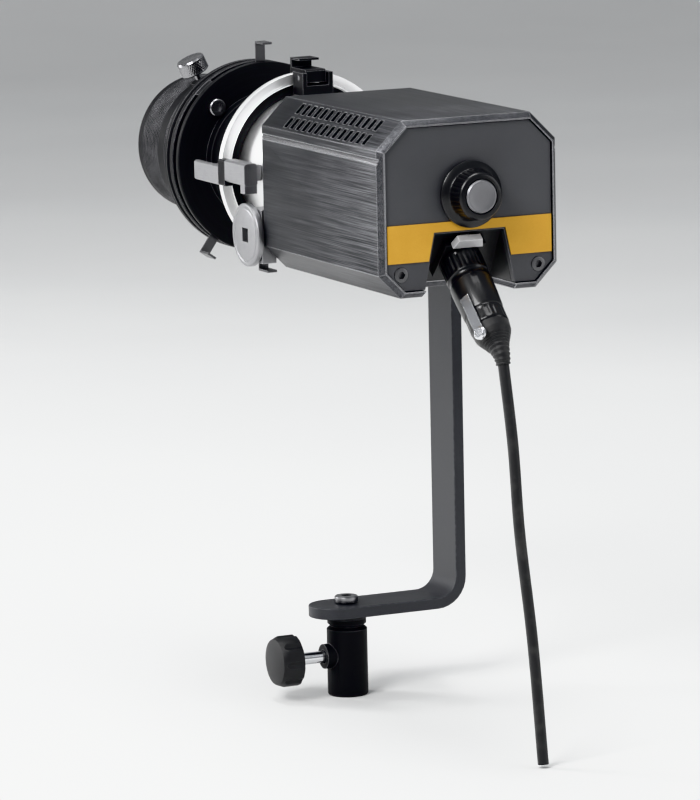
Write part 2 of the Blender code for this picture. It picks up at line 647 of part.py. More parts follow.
def build_plug(lamp, plug_axis):
    """The plug's shell turns about its own axis, local Z; its boot narrows and bends down into the cable."""
    nose = [(0, -15), (PLUG_NOSE_RADIUS, -15), (PLUG_NOSE_RADIUS, 5.8)]
    ring = [(12.4, 5.8), (13.3, 6.7), (13.3, 21), (12.4, 22), (12.4, 24.5)]
    body = [(13.3, 25.5), (13.1, 37), (12.5, 48), (12.2, PLUG_LENGTH), (0, PLUG_LENGTH)]
    place(turned("plug_shell", nose + ring + body, "gloss_black", "Z", 28), plug_axis)
    direction = Vector((0, math.cos(math.radians(PLUG_ANGLE)), -math.sin(math.radians(PLUG_ANGLE))))
    root = Vector((0, PLUG_Y, PLUG_Z))
    straight = [root + direction * n for n in (PLUG_LENGTH + GAP, 65, 68.5, 72, 75.5)]
    bend = [Vector((0, 39.3, -86.4)), Vector((-0.1, 40.9, -91.4))]
    radii = [12, 11.4, 9.8, 8, 6.4, 5.2, 4.3]
    place(tube_along("plug_boot", straight + bend, radii, "cable_rubber", 20), lamp)
    end = STRAP_SCREW - 1
    outer_edge = [(13.7, STRAP_START), (14.9, STRAP_START), (14.9, end - 7), (14.2, end)]
    strap = prism("plug_strap", [*outer_edge, (12.9, end), (13.3, end - 9)], -3.2, 3.2, "chrome", "Y")
    head = turned("strap_screw", [(0, 13.4), (4.2, 13.4), (4.2, 15), (3.2, 16), (0, 16)], None, "X", 16)
    place(strap, plug_axis, (0, 0, 0), (0, 0, STRAP_TURN))
    place(head, plug_axis, (0, 0, STRAP_SCREW), (0, 0, STRAP_TURN))
    join(strap, head)


def build_cable(cable):
    """Hangs from a ball end just below the boot. Its origin is the ball's centre."""
    ball = []
    for degrees in (12, 32, 52, 71):
        angle = math.radians(degrees)
        ball.append(((0, 0, CABLE_RADIUS * math.cos(angle)), CABLE_RADIUS * math.sin(angle)))
    knots = [(0, 0, -1), (-2.4, 5, -44), (-3.9, 9, -96), (-8.6, 14.6, -162), (-12, 19.4, -235.8)]
    path = smooth_path(knots, 3)
    spots = [spot for spot, _ in ball] + path
    radii = [radius for _, radius in ball] + [CABLE_RADIUS] * len(path)
    place(tube_along("power_cable", spots, radii, "cable_rubber", 12), cable)


# Front mount: frame, pivot discs, barrel, claws and latch


def build_front_mount(lamp, latch):
    """Frame on the housing's front with a lug and a disc on each side, the barrel, and what clips to it."""
    plate = prism("front_frame", octagon(112, 99, 14, 12), FRAME_FRONT, FRAME_BACK, "satin_aluminium", "Y")
    for side, name in ((1, "left"), (-1, "right")):
        add_lug(lamp, plate, side, name)
        inner, edge, outer = side * 60.6, side * 64, side * 64.6
        disc = [(4.5, inner), (20, inner), (20, edge), (19.4, outer), (4.5, outer)]
        disc = turned("pivot_disc_" + name, disc, "satin_aluminium", "X", 36)
        place(disc, lamp, (0, PIVOT_Y, PIVOT_Z))
        build_claw(lamp, side, name)
        build_front_block(lamp, side, name)
    window = turned("frame_window", [(0, -180), (38, -180), (38, -160), (0, -160)], None, "Y", 28)
    place(window, lamp)
    cut(plate, window)
    place(plate, lamp)
    back, front = FRAME_FRONT - GAP, RING_FRONT + 0.6
    barrel = [(44, back), (BARREL_RADIUS, back), (BARREL_RADIUS, front), (44, front)]
    place(turned("mount_barrel", barrel, "bright_aluminium", "Y", 44), lamp)
    build_top_latch(lamp, latch)


def add_lug(lamp, plate, side, name):
    """Joins a lug to the frame and drills it for the tilt bolt."""
    low_z, high_z = PIVOT_Z - LUG_RADIUS, PIVOT_Z + LUG_RADIUS
    outline = [(-172, low_z), (-172, high_z), (PIVOT_Y, high_z)]
    outline += arc((PIVOT_Y, PIVOT_Z), LUG_RADIUS, 90, 270, 14)[1:]
    low, high = sorted((side * 50.5, side * 60.3))
    lug = prism("frame_lug_" + name, outline, low, high, None, "X")
    low, high = sorted((side * 48, side * 66))
    hole = turned("lug_hole_" + name, [(0, low), (4.5, low), (4.5, high), (0, high)], None, "X", 16)
    place(lug, lamp)
    place(hole, lamp, (0, PIVOT_Y, PIVOT_Z))
    join(plate, lug)
    cut(plate, hole)


def build_claw(lamp, side, name):
    """Block beside the barrel with a tail at its rear and a foot on the barrel, and its black rubber pad.

    The pad holds the ring plate's rim from behind, and fills the space up to the block in front.
    """
    low, high = sorted((side * CLAW_INNER, side * CLAW_OUTER))
    size = (low, -3, CLAW_FRONT), (high, 11, CLAW_BACK)
    claw = rounded_box("claw_" + name, *size, 1.2, "satin_aluminium", "Y")
    low, high = sorted((side * 57.3, side * 65.7))
    tail = many_boxes("claw_tail_" + name, [((low, CLAW_BACK - 7, -8), (high, CLAW_BACK - 0.4, 0))])
    low, high = sorted((side * 47.5, side * 60))
    foot = many_boxes("claw_foot_" + name, [((low, -212, -2), (high, -199, 8))])
    for thing in (tail, foot):
        place(thing, lamp)
    join(claw, tail, foot)
    place(claw, lamp)
    back, front = CLAW_FRONT - GAP, BLOCK_BACK + GAP
    low, high = sorted((side * 60, side * CLAW_OUTER))
    pad = rounded_box("claw_pad_" + name, (low, -6, front), (high, 10.6, back), 0.8, "satin_black", "Y")
    low, high = sorted((side * 56.8, side * 61.1))
    hold = many_boxes("pad_hold_" + name, [((low, RING_BACK + 0.6, -5), (high, back - 1, 9.4))])
    place(hold, lamp)
    join(pad, hold)
    place(pad, lamp)


def build_front_block(lamp, side, name):
    """Bar that lies outside the ring plate's rim, on a foot screwed to the plate's front."""
    low, high = sorted((side * 61.7, side * CLAW_OUTER))
    size = (low, -6.2, BLOCK_FRONT), (high, 6.2, BLOCK_BACK)
    block = rounded_box("front_block_" + name, *size, 1, "satin_aluminium", "Y")
    low, high = sorted((side * 53.4, side * 63))
    foot = many_boxes("block_foot_" + name, [((low, RING_FRONT - 10, -5), (high, RING_FRONT - GAP, 5))])
    place(foot, lamp)
    join(block, foot)
    place(block, lamp)


def build_top_latch(lamp, latch):
    """A claw with two ears on top of the barrel, and the lever between them that hooks over the plate."""
    outline = [(-10.5, 47.4), (10.5, 47.4), (10.5, 62), (-10.5, 62)]
    claw = prism("claw_top", outline, -229, -214, "satin_black", "Y")
    slot = many_boxes("claw_slot", [((-7.6, -231, 53.8), (7.6, -212, 70))])
    hole = turned("claw_hole", [(0, -12), (1.8, -12), (1.8, 12), (0, 12)], None, "X", 12)
    place(slot, lamp)
    place(hole, lamp, (0, LATCH_Y, LATCH_Z))
    cut(claw, slot, hole)
    place(claw, lamp)
    pin = turned("latch_pin", [(0, -10.2), (1.5, -10.2), (1.5, 10.2), (0, 10.2)], "steel", "X", 12)
    place(pin, lamp, (0, LATCH_Y, LATCH_Z))
    hook = [(-19.5, -1), (-15.6, -1), (-15.6, 2.9)]
    lug = [(-4, 2.9), (-4, -3), (4, -3), (4, 4.2), (3, 5.2)]
    tab = [(-17.3, 5.2), (-17.3, 10.1), (-6, 10.1), (-6, 11.5), (-19.5, 11.5)]
    width = LEVER_HALF_WIDTH
    lever = prism("latch_lever", hook + lug + tab, -width, width, "satin_black", "X")
    bore = turned("lever_bore", [(0, -10), (1.8, -10), (1.8, 10), (0, 10)], None, "X", 12)
    place(bore, latch)
    cut(lever, bore)
    place(lever, latch)


# Projector: ring plate, drum, shutters, gate, lens barrel and lenses


def build_projector(lamp):
    build_ring_plate(lamp)
    build_drum(lamp)
    build_gate(lamp)
    build_front_housing(lamp)


def build_ring_plate(lamp):
    inner, step, edge = BARREL_RADIUS + GAP * 2, -233.6, 0.6
    rim = [(RING_RADIUS, RING_FRONT), (RING_RADIUS, RING_BACK - edge), (RING_RADIUS - edge, RING_BACK)]
    inside = [(RING_INNER, RING_BACK), (RING_INNER, step), (inner, step)]
    ring = turned("ring_plate", [(inner, RING_FRONT), *rim, *inside], "bright_aluminium", "Y", 48)
    place(ring, lamp)


def build_drum(lamp):
    """Drum between ring plate and shutters, and the screws that hold the front housing to its flange."""
    back, wide, edge = RING_FRONT - GAP, FLANGE_RADIUS, 0.6
    outside = [(38.5, back), (53, back), (53, -239.5), (DRUM_RADIUS, -241.5), (DRUM_RADIUS, FLANGE_BACK)]
    flange = [(wide - edge, FLANGE_BACK), (wide, FLANGE_BACK - edge), (wide, SLOT_BACK)]
    inside = [(36, SLOT_BACK), (36, FLANGE_BACK), (39, FLANGE_BACK), (39, -241)]
    drum = turned("drum", outside + flange + inside, "satin_black", "Y", 44)
    place(drum, lamp)
    shank = [(0, -299.5), (2.1, -299.5), (2.1, -296.7)]
    head = [(5.7, -296.7), (5.7, -293.4), (5.1, -292.8), (2.9, -292.8), (2.9, -295), (0, -295)]
    for i, angle in enumerate(SCREW_ANGLES):
        turn = math.radians(angle)
        spot = (SCREW_CIRCLE * math.sin(turn), 0, SCREW_CIRCLE * math.cos(turn))
        seat = [(0, -300), (2.5, -300), (2.5, -290), (0, -290)]
        seat = turned("screw_hole_" + str(i + 1), seat, None, "Y", 12)
        place(seat, lamp, spot)
        cut(drum, seat)
        place(turned("shutter_screw_" + str(i + 1), shank + head, "steel", "Y", 12), lamp, spot)


def build_gate(lamp):
    """Field stop with a sharp round edge, and the condenser lens behind it."""
    gate = [(GATE_RADIUS, -295.4), (38.6, -295.4), (38.6, -293.9), (GATE_RADIUS + 1, -293.9)]
    place(turned("gate_plate", gate, "satin_black", "Y", 28), lamp)
    condenser = [(0, -262), (37, -262), (37, -259.5), *lens_curve(37, -259.5, 9, 4), (0, -250.5)]
    place(turned("condenser_lens", condenser, "lens_glass", "Y", 28), lamp)


def build_front_housing(lamp):
    """Two rims in front of the shutters, with spacers between which the handles pass, then the collar."""
    wide, groove, bore = FLANGE_RADIUS, FLANGE_RADIUS - 2.4, TUBE_RADIUS + 0.4
    back_rim = [(26, SLOT_FRONT), (wide, SLOT_FRONT), (wide, RIM_GROOVE_BACK)]
    front_rim = [(groove, RIM_GROOVE_BACK - 0.6), (groove, RIM_GROOVE_FRONT), (wide, RIM_GROOVE_FRONT - 0.6)]
    front_rim += [(wide, FLANGE_FRONT + 0.8), (wide - 0.8, FLANGE_FRONT)]
    neck = [(57.2, FLANGE_FRONT), (57.2, -325), (55.3, -326), (55.3, -334), (54, -335.5), (49.8, -337)]
    collar = [(49.8, COLLAR_FRONT + 0.8), (49, COLLAR_FRONT)]
    inside = [(bore, COLLAR_FRONT), (bore, COLLAR_BACK), (26, COLLAR_BACK)]
    front = turned("front_housing", back_rim + front_rim + neck + collar + inside, "satin_black", "Y", 44)
    low, high = SLOT_FRONT - 1, SLOT_BACK - GAP
    land_section = [(57, low), (61.7, low), (61.7, high), (57, high)]
    for i, angle in enumerate(LAND_ANGLES):
        land = turned("slot_land_" + str(i), land_section, None, "Y", 3, LAND_WIDTH)
        close_ends(land)
        place(land, lamp, (0, 0, 0), (0, angle - 90 - LAND_WIDTH / 2, 0))
        join(front, land)
    place(front, lamp)
    boss = turned("thumb_boss", [(0, 44), (6, 44), (6, 51.5), (0, 51.5)], None, "Z", 16)
    screw_bore = turned("thumb_bore", [(0, 40), (2.3, 40), (2.3, 60), (0, 60)], None, "Z", 12)
    end = COLLAR_FRONT - 2
    clear = [(0, end), (bore, end), (bore, COLLAR_BACK), (0, COLLAR_BACK)]
    clear = turned("collar_bore", clear, None, "Y", 44)
    for tool in (boss, screw_bore):
        place(tool, lamp, (0, THUMB_Y, 0), (0, THUMB_ANGLE, 0))
    place(clear, lamp)
    join(front, boss)
    cut(front, clear, screw_bore)


def close_ends(thing):
    """Caps the two open ends of a part-turn, and turns its faces out."""
    bm = bmesh.new()
    bm.from_mesh(thing.data)
    bmesh.ops.holes_fill(bm, edges=bm.edges, sides=0)
    bmesh.ops.recalc_face_normals(bm, faces=bm.faces)
    bm.to_mesh(thing.data)
    bm.free()


def lens_curve(radius, edge, sag, steps):
    """The domed side of a lens from its rim towards the axis, without the rim's own point."""
    sphere = (radius**2 + sag**2) / (2 * sag)
    found = []
    for i in range(1, steps):
        r = radius * (1 - i / steps)
        found.append((r, edge + math.sqrt(sphere**2 - r**2) - (sphere - sag)))
    return found


def build_blades(lamp):
    """Four shutter blades, one above the other. Each slides towards the axis by its own handle."""
    half, thick = HANDLE_HALF_WIDTH, 1.5
    blade_side = [(30, BLADE_PARK), (30, 40), (22, 46), (half, 46), (half, HANDLE_RADIUS)]
    outline = blade_side + [(-a, b) for a, b in reversed(blade_side)]
    for i, (name, angle) in enumerate(BLADE_ANGLES.items()):
        high = SLOT_BACK - 0.6 - BLADE_PITCH * i
        low = high - BLADE_THICK
        blade = prism("shutter_blade_" + name, outline, low, high, "steel", "Y")
        tab_size = (-half, low + 0.1, HANDLE_RADIUS - thick), (half, HANDLE_BACK, HANDLE_RADIUS)
        tab = many_boxes("handle_tab_" + name, [tab_size])
        for thing in (blade, tab):
            place(thing, lamp, (0, 0, 0), (0, angle, 0))
        join(blade, tab)


def build_lens_tube(tube):
    """The focusing tube with grip grooves, and its two lenses. It slides in the collar."""
    wide, low = TUBE_RADIUS, TUBE_RADIUS - 1.2
    outside = [(wide, TUBE_BACK)]
    for y in (-368, -376, -384):
        outside += [(wide, y), (low, y - 1), (low, y - 3), (wide, y - 4)]
    rim = [(TUBE_RADIUS, TUBE_FRONT + 1), (TUBE_RADIUS - 1, TUBE_FRONT), (40, TUBE_FRONT)]
    inside = [(41.5, TUBE_FRONT + 3), (41.5, TUBE_BACK)]
    place(turned("lens_tube", outside + rim + inside, "satin_black", "Y", 44), tube)
    front = [(0, -397), *reversed(lens_curve_front(41, -393, 7, 5)), (41.1, -393), (41.1, -389), (0, -389)]
    place(turned("front_lens", front, "lens_glass", "Y", 32), tube)
    rear = [(0, -345), (41.1, -345), (41.1, -341), *lens_curve(41, -341, 7, 4), (0, -334)]
    place(turned("rear_lens", rear, "lens_glass", "Y", 28), tube)


def lens_curve_front(radius, edge, sag, steps):
    """The domed side of a lens that faces forwards."""
    return [(r, 2 * edge - along) for r, along in lens_curve(radius, edge, sag, steps)]


def build_focus_screw(screw):
    """Knurled thumbscrew. Local Z points away from the optical axis."""
    stem = [(0, 48), (2, 48), (2, 57.2), (8.6, 57.2)]
    head = [(9.4, 58), (9.4, 66.6), (8.6, 67.5), (0, 67.5)]
    place(turned("focus_screw", stem + head, "satin_aluminium", "Z", 20), screw)


def build():
    clear_scene()
    for name in MATERIALS:
        make_material(name)
    stand = make_empty("stand_frame")
    clamp = make_empty("clamp_axis", stand, (0, 0, CLAMP_HEIGHT))
    yoke = make_empty("pan_axis", stand)
    lock = make_empty("tilt_lock_axis", yoke, (0, 0, TILT_HEIGHT))
    tilt = make_empty("tilt_axis", yoke, (0, 0, TILT_HEIGHT))
    lamp = make_empty("lamp_frame", tilt, (0, -PIVOT_Y, -PIVOT_Z))
    latch = make_empty("top_latch_axis", lamp, (0, LATCH_Y, LATCH_Z))
    plug_axis = make_empty("plug_axis", lamp, (0, PLUG_Y, PLUG_Z), (-90 - PLUG_ANGLE, 0, 0))
    socket_latch = make_empty("socket_latch_axis", plug_axis)
    dimmer = make_empty("dimmer_axis", lamp, (0, 0, KNOB_HEIGHT))
    fan = make_empty("fan_axis", lamp, (0, FAN_Y, 0))
    cable = make_empty("cable_top", lamp, CABLE_TOP)
    tube = make_empty("focus_axis", lamp)
    thumb = make_empty("thumb_axis", lamp, (0, THUMB_Y, 0), (0, THUMB_ANGLE, 0))
    build_stand_socket(stand)
    build_clamp(clamp)
    build_yoke(yoke)
    build_tilt_hardware(yoke, lock)
    build_housing(lamp)
    build_rear_panel(lamp)
    build_recess(lamp, plug_axis, socket_latch)
    build_dimmer(lamp, dimmer)
    build_engine(lamp, fan)
    build_plug(lamp, plug_axis)
    build_cable(cable)
    build_front_mount(lamp, latch)
    build_projector(lamp)
    build_blades(lamp)
    build_lens_tube(tube)
    build_focus_screw(thumb)


build()
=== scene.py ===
"""Looks for the ellipsoidal spotlight: fine pieces, materials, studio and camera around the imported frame."""

import json
import math

import bmesh
import bpy
from mathutils import Matrix, Vector


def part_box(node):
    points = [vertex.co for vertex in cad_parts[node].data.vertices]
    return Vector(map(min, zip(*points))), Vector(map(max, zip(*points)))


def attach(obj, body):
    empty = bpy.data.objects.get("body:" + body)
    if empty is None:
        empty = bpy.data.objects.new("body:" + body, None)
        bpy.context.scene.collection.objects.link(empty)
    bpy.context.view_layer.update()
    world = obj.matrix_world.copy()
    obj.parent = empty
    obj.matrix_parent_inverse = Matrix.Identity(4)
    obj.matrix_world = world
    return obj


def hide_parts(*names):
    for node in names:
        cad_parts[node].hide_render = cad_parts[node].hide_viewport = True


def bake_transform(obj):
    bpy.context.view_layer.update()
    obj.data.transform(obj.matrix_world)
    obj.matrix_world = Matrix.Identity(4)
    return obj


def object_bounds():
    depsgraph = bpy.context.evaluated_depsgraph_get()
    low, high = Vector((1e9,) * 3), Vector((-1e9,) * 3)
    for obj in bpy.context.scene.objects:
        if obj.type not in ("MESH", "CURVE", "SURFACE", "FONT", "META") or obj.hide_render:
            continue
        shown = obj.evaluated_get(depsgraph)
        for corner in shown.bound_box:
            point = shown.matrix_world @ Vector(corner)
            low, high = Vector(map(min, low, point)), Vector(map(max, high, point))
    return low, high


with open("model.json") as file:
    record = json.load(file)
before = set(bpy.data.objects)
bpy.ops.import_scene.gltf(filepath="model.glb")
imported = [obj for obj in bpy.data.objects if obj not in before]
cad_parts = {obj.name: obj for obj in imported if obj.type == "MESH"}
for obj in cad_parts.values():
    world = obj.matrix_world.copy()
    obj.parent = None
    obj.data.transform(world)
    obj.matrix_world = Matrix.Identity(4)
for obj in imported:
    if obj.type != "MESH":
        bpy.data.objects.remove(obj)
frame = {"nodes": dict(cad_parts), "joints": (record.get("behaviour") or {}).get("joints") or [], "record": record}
CAD_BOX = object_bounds()
NODES = frame["nodes"]
JOINTS = {joint["name"]: joint for joint in frame["joints"]}
SLOT_OF = {part["node"]: part["material_slot"] for part in frame["record"]["subparts"]}
BODY_OF = {node: body for body, nodes in frame["record"]["behaviour"]["bodies"].items() for node in nodes}

MM = 0.001
FINE = 112  # facets round a large turned piece
MEDIUM = 64
SMALL = 40


def middle(node):
    low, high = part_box(node)
    return (low + high) / 2


# The lamp frame, as the frame gives it: the optical axis, and the housing's rear edge, from which y counts.
AXIS_Z = middle("mount_barrel").z
REAR_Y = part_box("housing_shell")[1].y
PLUG_OUT = Vector(JOINTS["plug_slide"]["axis"])


def lamp_point(x, y, z):
    """A place given in millimetres in the lamp frame, in metres in the frame's own space."""
    return Vector((x * MM, REAR_Y + y * MM, AXIS_Z + z * MM))


CENTRE = lamp_point(0, 0, 0)
BEAM = (0, 1, 0)


def behind_rear(node):
    """How far a node's lowest and highest y are from the housing's rear edge, in millimetres."""
    low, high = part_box(node)
    return (low.y - REAR_Y) / MM, (high.y - REAR_Y) / MM


def half_width(node):
    low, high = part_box(node)
    return (high.x - low.x) / 2 / MM


# Materials


class Finish:
    """A Principled material under construction. Sizes are in metres, in the object's own space."""

    def __init__(self, name, colour, roughness, metallic=0.0):
        self.material = bpy.data.materials.new(name)
        self.material.use_nodes = True
        self.nodes = self.material.node_tree.nodes
        self.links = self.material.node_tree.links
        self.surface = self.nodes["Principled BSDF"]
        self.put("Metallic", metallic)
        self.place = self.add("ShaderNodeTexCoord").outputs["Object"]
        self.colour = (*colour, 1)
        self.roughness = roughness
        self.normal = None

    def add(self, kind, **settings):
        node = self.nodes.new(kind)
        for key, value in settings.items():
            setattr(node, key, value)
        return node

    def feed(self, socket, value):
        if isinstance(value, bpy.types.NodeSocket):
            self.links.new(value, socket)
        else:
            socket.default_value = value

    def put(self, name, value):
        self.feed(self.surface.inputs[name], value)

    def maths(self, operation, first, second=0.0):
        node = self.add("ShaderNodeMath", operation=operation)
        self.feed(node.inputs[0], first)
        self.feed(node.inputs[1], second)
        return node.outputs[0]

    def vector_maths(self, operation, first, second):
        node = self.add("ShaderNodeVectorMath", operation=operation)
        self.feed(node.inputs[0], first)
        self.feed(node.inputs[1], second)
        return node.outputs["Value" if operation in ("LENGTH", "DOT_PRODUCT") else "Vector"]

    def spread(self, value, low, high, to_low, to_high):
        node = self.add("ShaderNodeMapRange")
        for socket, given in zip(node.inputs, (value, low, high, to_low, to_high)):
            self.feed(socket, given)
        return node.outputs[0]

    def noise(self, size, detail=3.0, stretch=(1, 1, 1), place=None):
        """Smooth noise from 0 to 1 whose features are about this size, longer along a stretched axis."""
        mapping = self.add("ShaderNodeMapping")
        self.feed(mapping.inputs["Vector"], place or self.place)
        mapping.inputs["Scale"].default_value = [1 / (size * s) for s in stretch]
        texture = self.add("ShaderNodeTexNoise")
        texture.inputs["Scale"].default_value = 1
        texture.inputs["Detail"].default_value = detail
        self.links.new(mapping.outputs[0], texture.inputs["Vector"])
        return texture.outputs["Fac"]

    def blend(self, first, second, factor):
        node = self.add("ShaderNodeMix", data_type="RGBA")
        self.feed(node.inputs["Factor"], factor)
        self.feed(node.inputs[6], first)
        self.feed(node.inputs[7], second)
        return node.outputs[2]

    def tint(self, colour, factor):
        """Turns the colour towards another, by a mask."""
        self.colour = self.blend(self.colour, (*colour, 1), factor)

    def rougher(self, mask, amount):
        """Adds amount times (mask - 0.5) to the roughness."""
        change = self.maths("MULTIPLY", self.maths("SUBTRACT", mask, 0.5), amount)
        self.roughness = self.maths("ADD", change, self.roughness)

    def bump(self, height, distance, strength=1.0):
        node = self.add("ShaderNodeBump")
        node.inputs["Strength"].default_value = strength
        node.inputs["Distance"].default_value = distance
        self.feed(node.inputs["Height"], height)
        if self.normal:
            self.feed(node.inputs["Normal"], self.normal)
        self.normal = node.outputs[0]

    def along_beam(self):
        """The y coordinate."""
        split = self.add("ShaderNodeSeparateXYZ")
        self.links.new(self.place, split.inputs[0])
        return split.outputs[1]

    def edges(self, radius):
        """A mask that is 1 on corners and edges within this radius, and 0 on flat ground."""
        rounded = self.add("ShaderNodeBevel", samples=4)
        rounded.inputs["Radius"].default_value = radius
        flat = self.add("ShaderNodeNewGeometry").outputs["Normal"]
        agreement = self.vector_maths("DOT_PRODUCT", rounded.outputs[0], flat)
        return self.spread(agreement, 0.995, 0.90, 0, 1)

    def round_place(self, centre):
        """Coordinates round a centre line parallel to Y, so that noise on them makes turned grooves."""
        offset = self.vector_maths("SUBTRACT", self.place, centre)
        across = self.vector_maths("MULTIPLY", offset, (1, 0, 1))
        split = self.add("ShaderNodeSeparateXYZ")
        self.links.new(offset, split.inputs[0])
        joined = self.add("ShaderNodeCombineXYZ")
        self.links.new(self.vector_maths("LENGTH", across, (0, 0, 0)), joined.inputs[0])
        self.links.new(split.outputs[1], joined.inputs[1])
        return joined.outputs[0]

    def done(self):
        self.put("Base Color", self.colour)
        self.put("Roughness", self.roughness)
        if self.normal:
            self.put("Normal", self.normal)
        return self.material


def brushed_gunmetal():
    """Dark anodised aluminium brushed along the beam, wear on its edges, painted sheen towards the rear edge."""
    look = Finish("gunmetal", (0.026, 0.027, 0.030), 0.42, 0.80)
    streaks = look.noise(0.00028, 5, (1, 170, 1))
    long_bands = look.noise(0.0022, 3, (1, 45, 1))
    cloud = look.noise(0.05, 2)
    # Painted sheen: the brushed streaks and bands are lightened, the more the nearer they are to the housing's
    # rear edge.
    sheen_toward_rear = look.spread(look.along_beam(), REAR_Y - 0.105, REAR_Y - 0.004, 0.25, 1)
    streak_sheen = look.maths("MULTIPLY", look.spread(streaks, 0.44, 0.74, 0, 0.95), sheen_toward_rear)
    band_sheen = look.maths("MULTIPLY", look.spread(long_bands, 0.48, 0.74, 0, 0.60), sheen_toward_rear)
    look.tint((0.300, 0.302, 0.320), streak_sheen)
    look.tint((0.160, 0.162, 0.175), band_sheen)
    look.tint((0.016, 0.017, 0.020), look.spread(cloud, 0.45, 0.80, 0, 0.55))
    edge_tint = look.maths("MULTIPLY", look.edges(0.0011), look.spread(streaks, 0.3, 0.7, 0.45, 1.0))
    look.tint((0.66, 0.66, 0.68), edge_tint)
    look.rougher(streaks, 0.30)
    look.bump(streaks, 0.000025, 0.6)
    return look.done()


def powder_coat(name, colour, roughness, grain=0.00035, depth=0.00005, edge_highlight_strength=0.35, metallic=0.0):
    """Sprayed paint: a fine even grain, faint clouding, and a painted highlight along its edges."""
    look = Finish(name, colour, roughness, metallic)
    cloud = look.noise(0.03, 3)
    fine = look.noise(grain, 2)
    edge_highlight_breakup = look.noise(0.0025, 5)
    look.tint([c * 1.35 for c in colour], look.spread(cloud, 0.3, 0.8, 0, 0.5))
    look.tint([c * 0.70 for c in colour], look.spread(fine, 0.45, 0.75, 0, 0.5))
    # Painted highlight: the edges are lightened, broken up by noise.
    edge_tint = look.maths("MULTIPLY", look.edges(0.0007), look.spread(edge_highlight_breakup, 0.42, 0.68, 0.1, edge_highlight_strength))
    look.tint((0.42, 0.42, 0.44), edge_tint)
    look.rougher(cloud, 0.16)
    look.bump(fine, depth, 0.5)
    return look.done()


def turned_metal(name, colour, roughness, centre, groove=0.00018, contrast=0.4, metallic=1.0):
    """Lathe-turned metal: fine grooves round the centre line, with a soft stain and bright edges."""
    look = Finish(name, colour, roughness, metallic)
    grooves = look.noise(groove, 3, place=look.round_place(centre))
    stain = look.noise(0.012, 4)
    look.tint([c * 0.72 for c in colour], look.spread(grooves, 0.4, 0.75, 0, contrast))
    look.tint([c * 0.85 for c in colour], look.spread(stain, 0.45, 0.8, 0, 0.35))
    look.tint([min(1, c * 1.5 + 0.15) for c in colour], look.maths("MULTIPLY", look.edges(0.0006), 0.55))
    look.rougher(grooves, 0.22)
    look.rougher(stain, 0.10)
    look.bump(grooves, 0.00002, 0.5)
    return look.done()


def milled_metal(name, colour, roughness, stretch=(1, 40, 1), metallic=1.0):
    """Satin metal with faint straight tool marks and soft handling stains."""
    look = Finish(name, colour, roughness, metallic)
    marks = look.noise(0.00025, 3, stretch)
    stain = look.noise(0.006, 4)
    look.tint([c * 0.78 for c in colour], look.spread(marks, 0.4, 0.75, 0, 0.45))
    look.tint([c * 0.82 for c in colour], look.spread(stain, 0.5, 0.8, 0, 0.4))
    look.tint([min(1, c * 1.4 + 0.1) for c in colour], look.maths("MULTIPLY", look.edges(0.0005), 0.6))
    look.rougher(marks, 0.16)
    look.rougher(stain, 0.14)
    look.bump(marks, 0.00002, 0.4)
    return look.done()


def moulded_plastic(name, colour, roughness, grain=0.0005, coat=0.0):
    """Injection-moulded plastic: a fine spark texture, faint wipe marks, softly lighter edges."""
    look = Finish(name, colour, roughness)
    fine = look.noise(grain, 2)
    wipe = look.noise(0.008, 5, (1, 1, 2.5))
    look.tint([c * 1.8 + 0.004 for c in colour], look.spread(wipe, 0.4, 0.8, 0, 0.5))
    look.tint([c * 2.5 + 0.03 for c in colour], look.maths("MULTIPLY", look.edges(0.0006), 0.5))
    look.rougher(wipe, 0.18)
    look.bump(fine, 0.00004, 0.35 if coat else 0.6)
    look.put("Coat Weight", coat)
    look.put("Coat Roughness", 0.06)
    return look.done()


def rubber(name):
    """Matt cable rubber with dust caught in its fine grain."""
    look = Finish(name, (0.014, 0.014, 0.015), 0.55)
    fine = look.noise(0.0004, 3)
    dust = look.noise(0.012, 5)
    look.tint((0.075, 0.073, 0.070), look.spread(dust, 0.48, 0.8, 0, 0.5))
    look.rougher(dust, 0.25)
    look.bump(fine, 0.00005, 0.5)
    look.put("Sheen Weight", 0.15)
    return look.done()


def amber_film():
    """Plain amber label film with a faint printed grain."""
    look = Finish("amber_label", (0.56, 0.31, 0.050), 0.52)
    print_grain = look.noise(0.0003, 2)
    fade = look.noise(0.02, 3)
    look.tint((0.66, 0.38, 0.070), look.spread(fade, 0.3, 0.8, 0, 0.6))
    look.tint((0.42, 0.21, 0.025), look.spread(print_grain, 0.5, 0.8, 0, 0.5))
    look.rougher(fade, 0.16)
    look.bump(print_grain, 0.00001, 0.4)
    look.put("Specular IOR Level", 0.35)
    return look.done()


def coated_glass():
    """Lens glass with a faint blue-violet coating and a little dust."""
    look = Finish("lens_glass", (0.97, 0.985, 1.0), 0.02)
    facing = look.add("ShaderNodeLayerWeight")
    facing.inputs["Blend"].default_value = 0.35
    look.tint((0.84, 0.88, 0.99), look.spread(facing.outputs["Facing"], 0.1, 0.9, 0, 0.6))
    dust = look.noise(0.0015, 6)
    look.roughness = look.spread(dust, 0.55, 0.8, 0.015, 0.09)
    look.put("IOR", 1.5)
    look.put("Transmission Weight", 1.0)
    look.put("Coat Weight", 0.4)
    look.put("Coat Tint", (0.85, 0.90, 1.0, 1))
    return look.done()


def warm_phosphor():
    """The lit yellow emitter on its white base."""
    look = Finish("phosphor", (0.93, 0.78, 0.32), 0.5)
    grain = look.noise(0.0004, 3)
    look.tint((0.98, 0.90, 0.60), look.spread(grain, 0.4, 0.7, 0, 0.7))
    look.bump(grain, 0.00003, 0.5)
    look.put("Emission Color", (1.0, 0.93, 0.80, 1))
    look.put("Emission Strength", 6.0)
    return look.done()


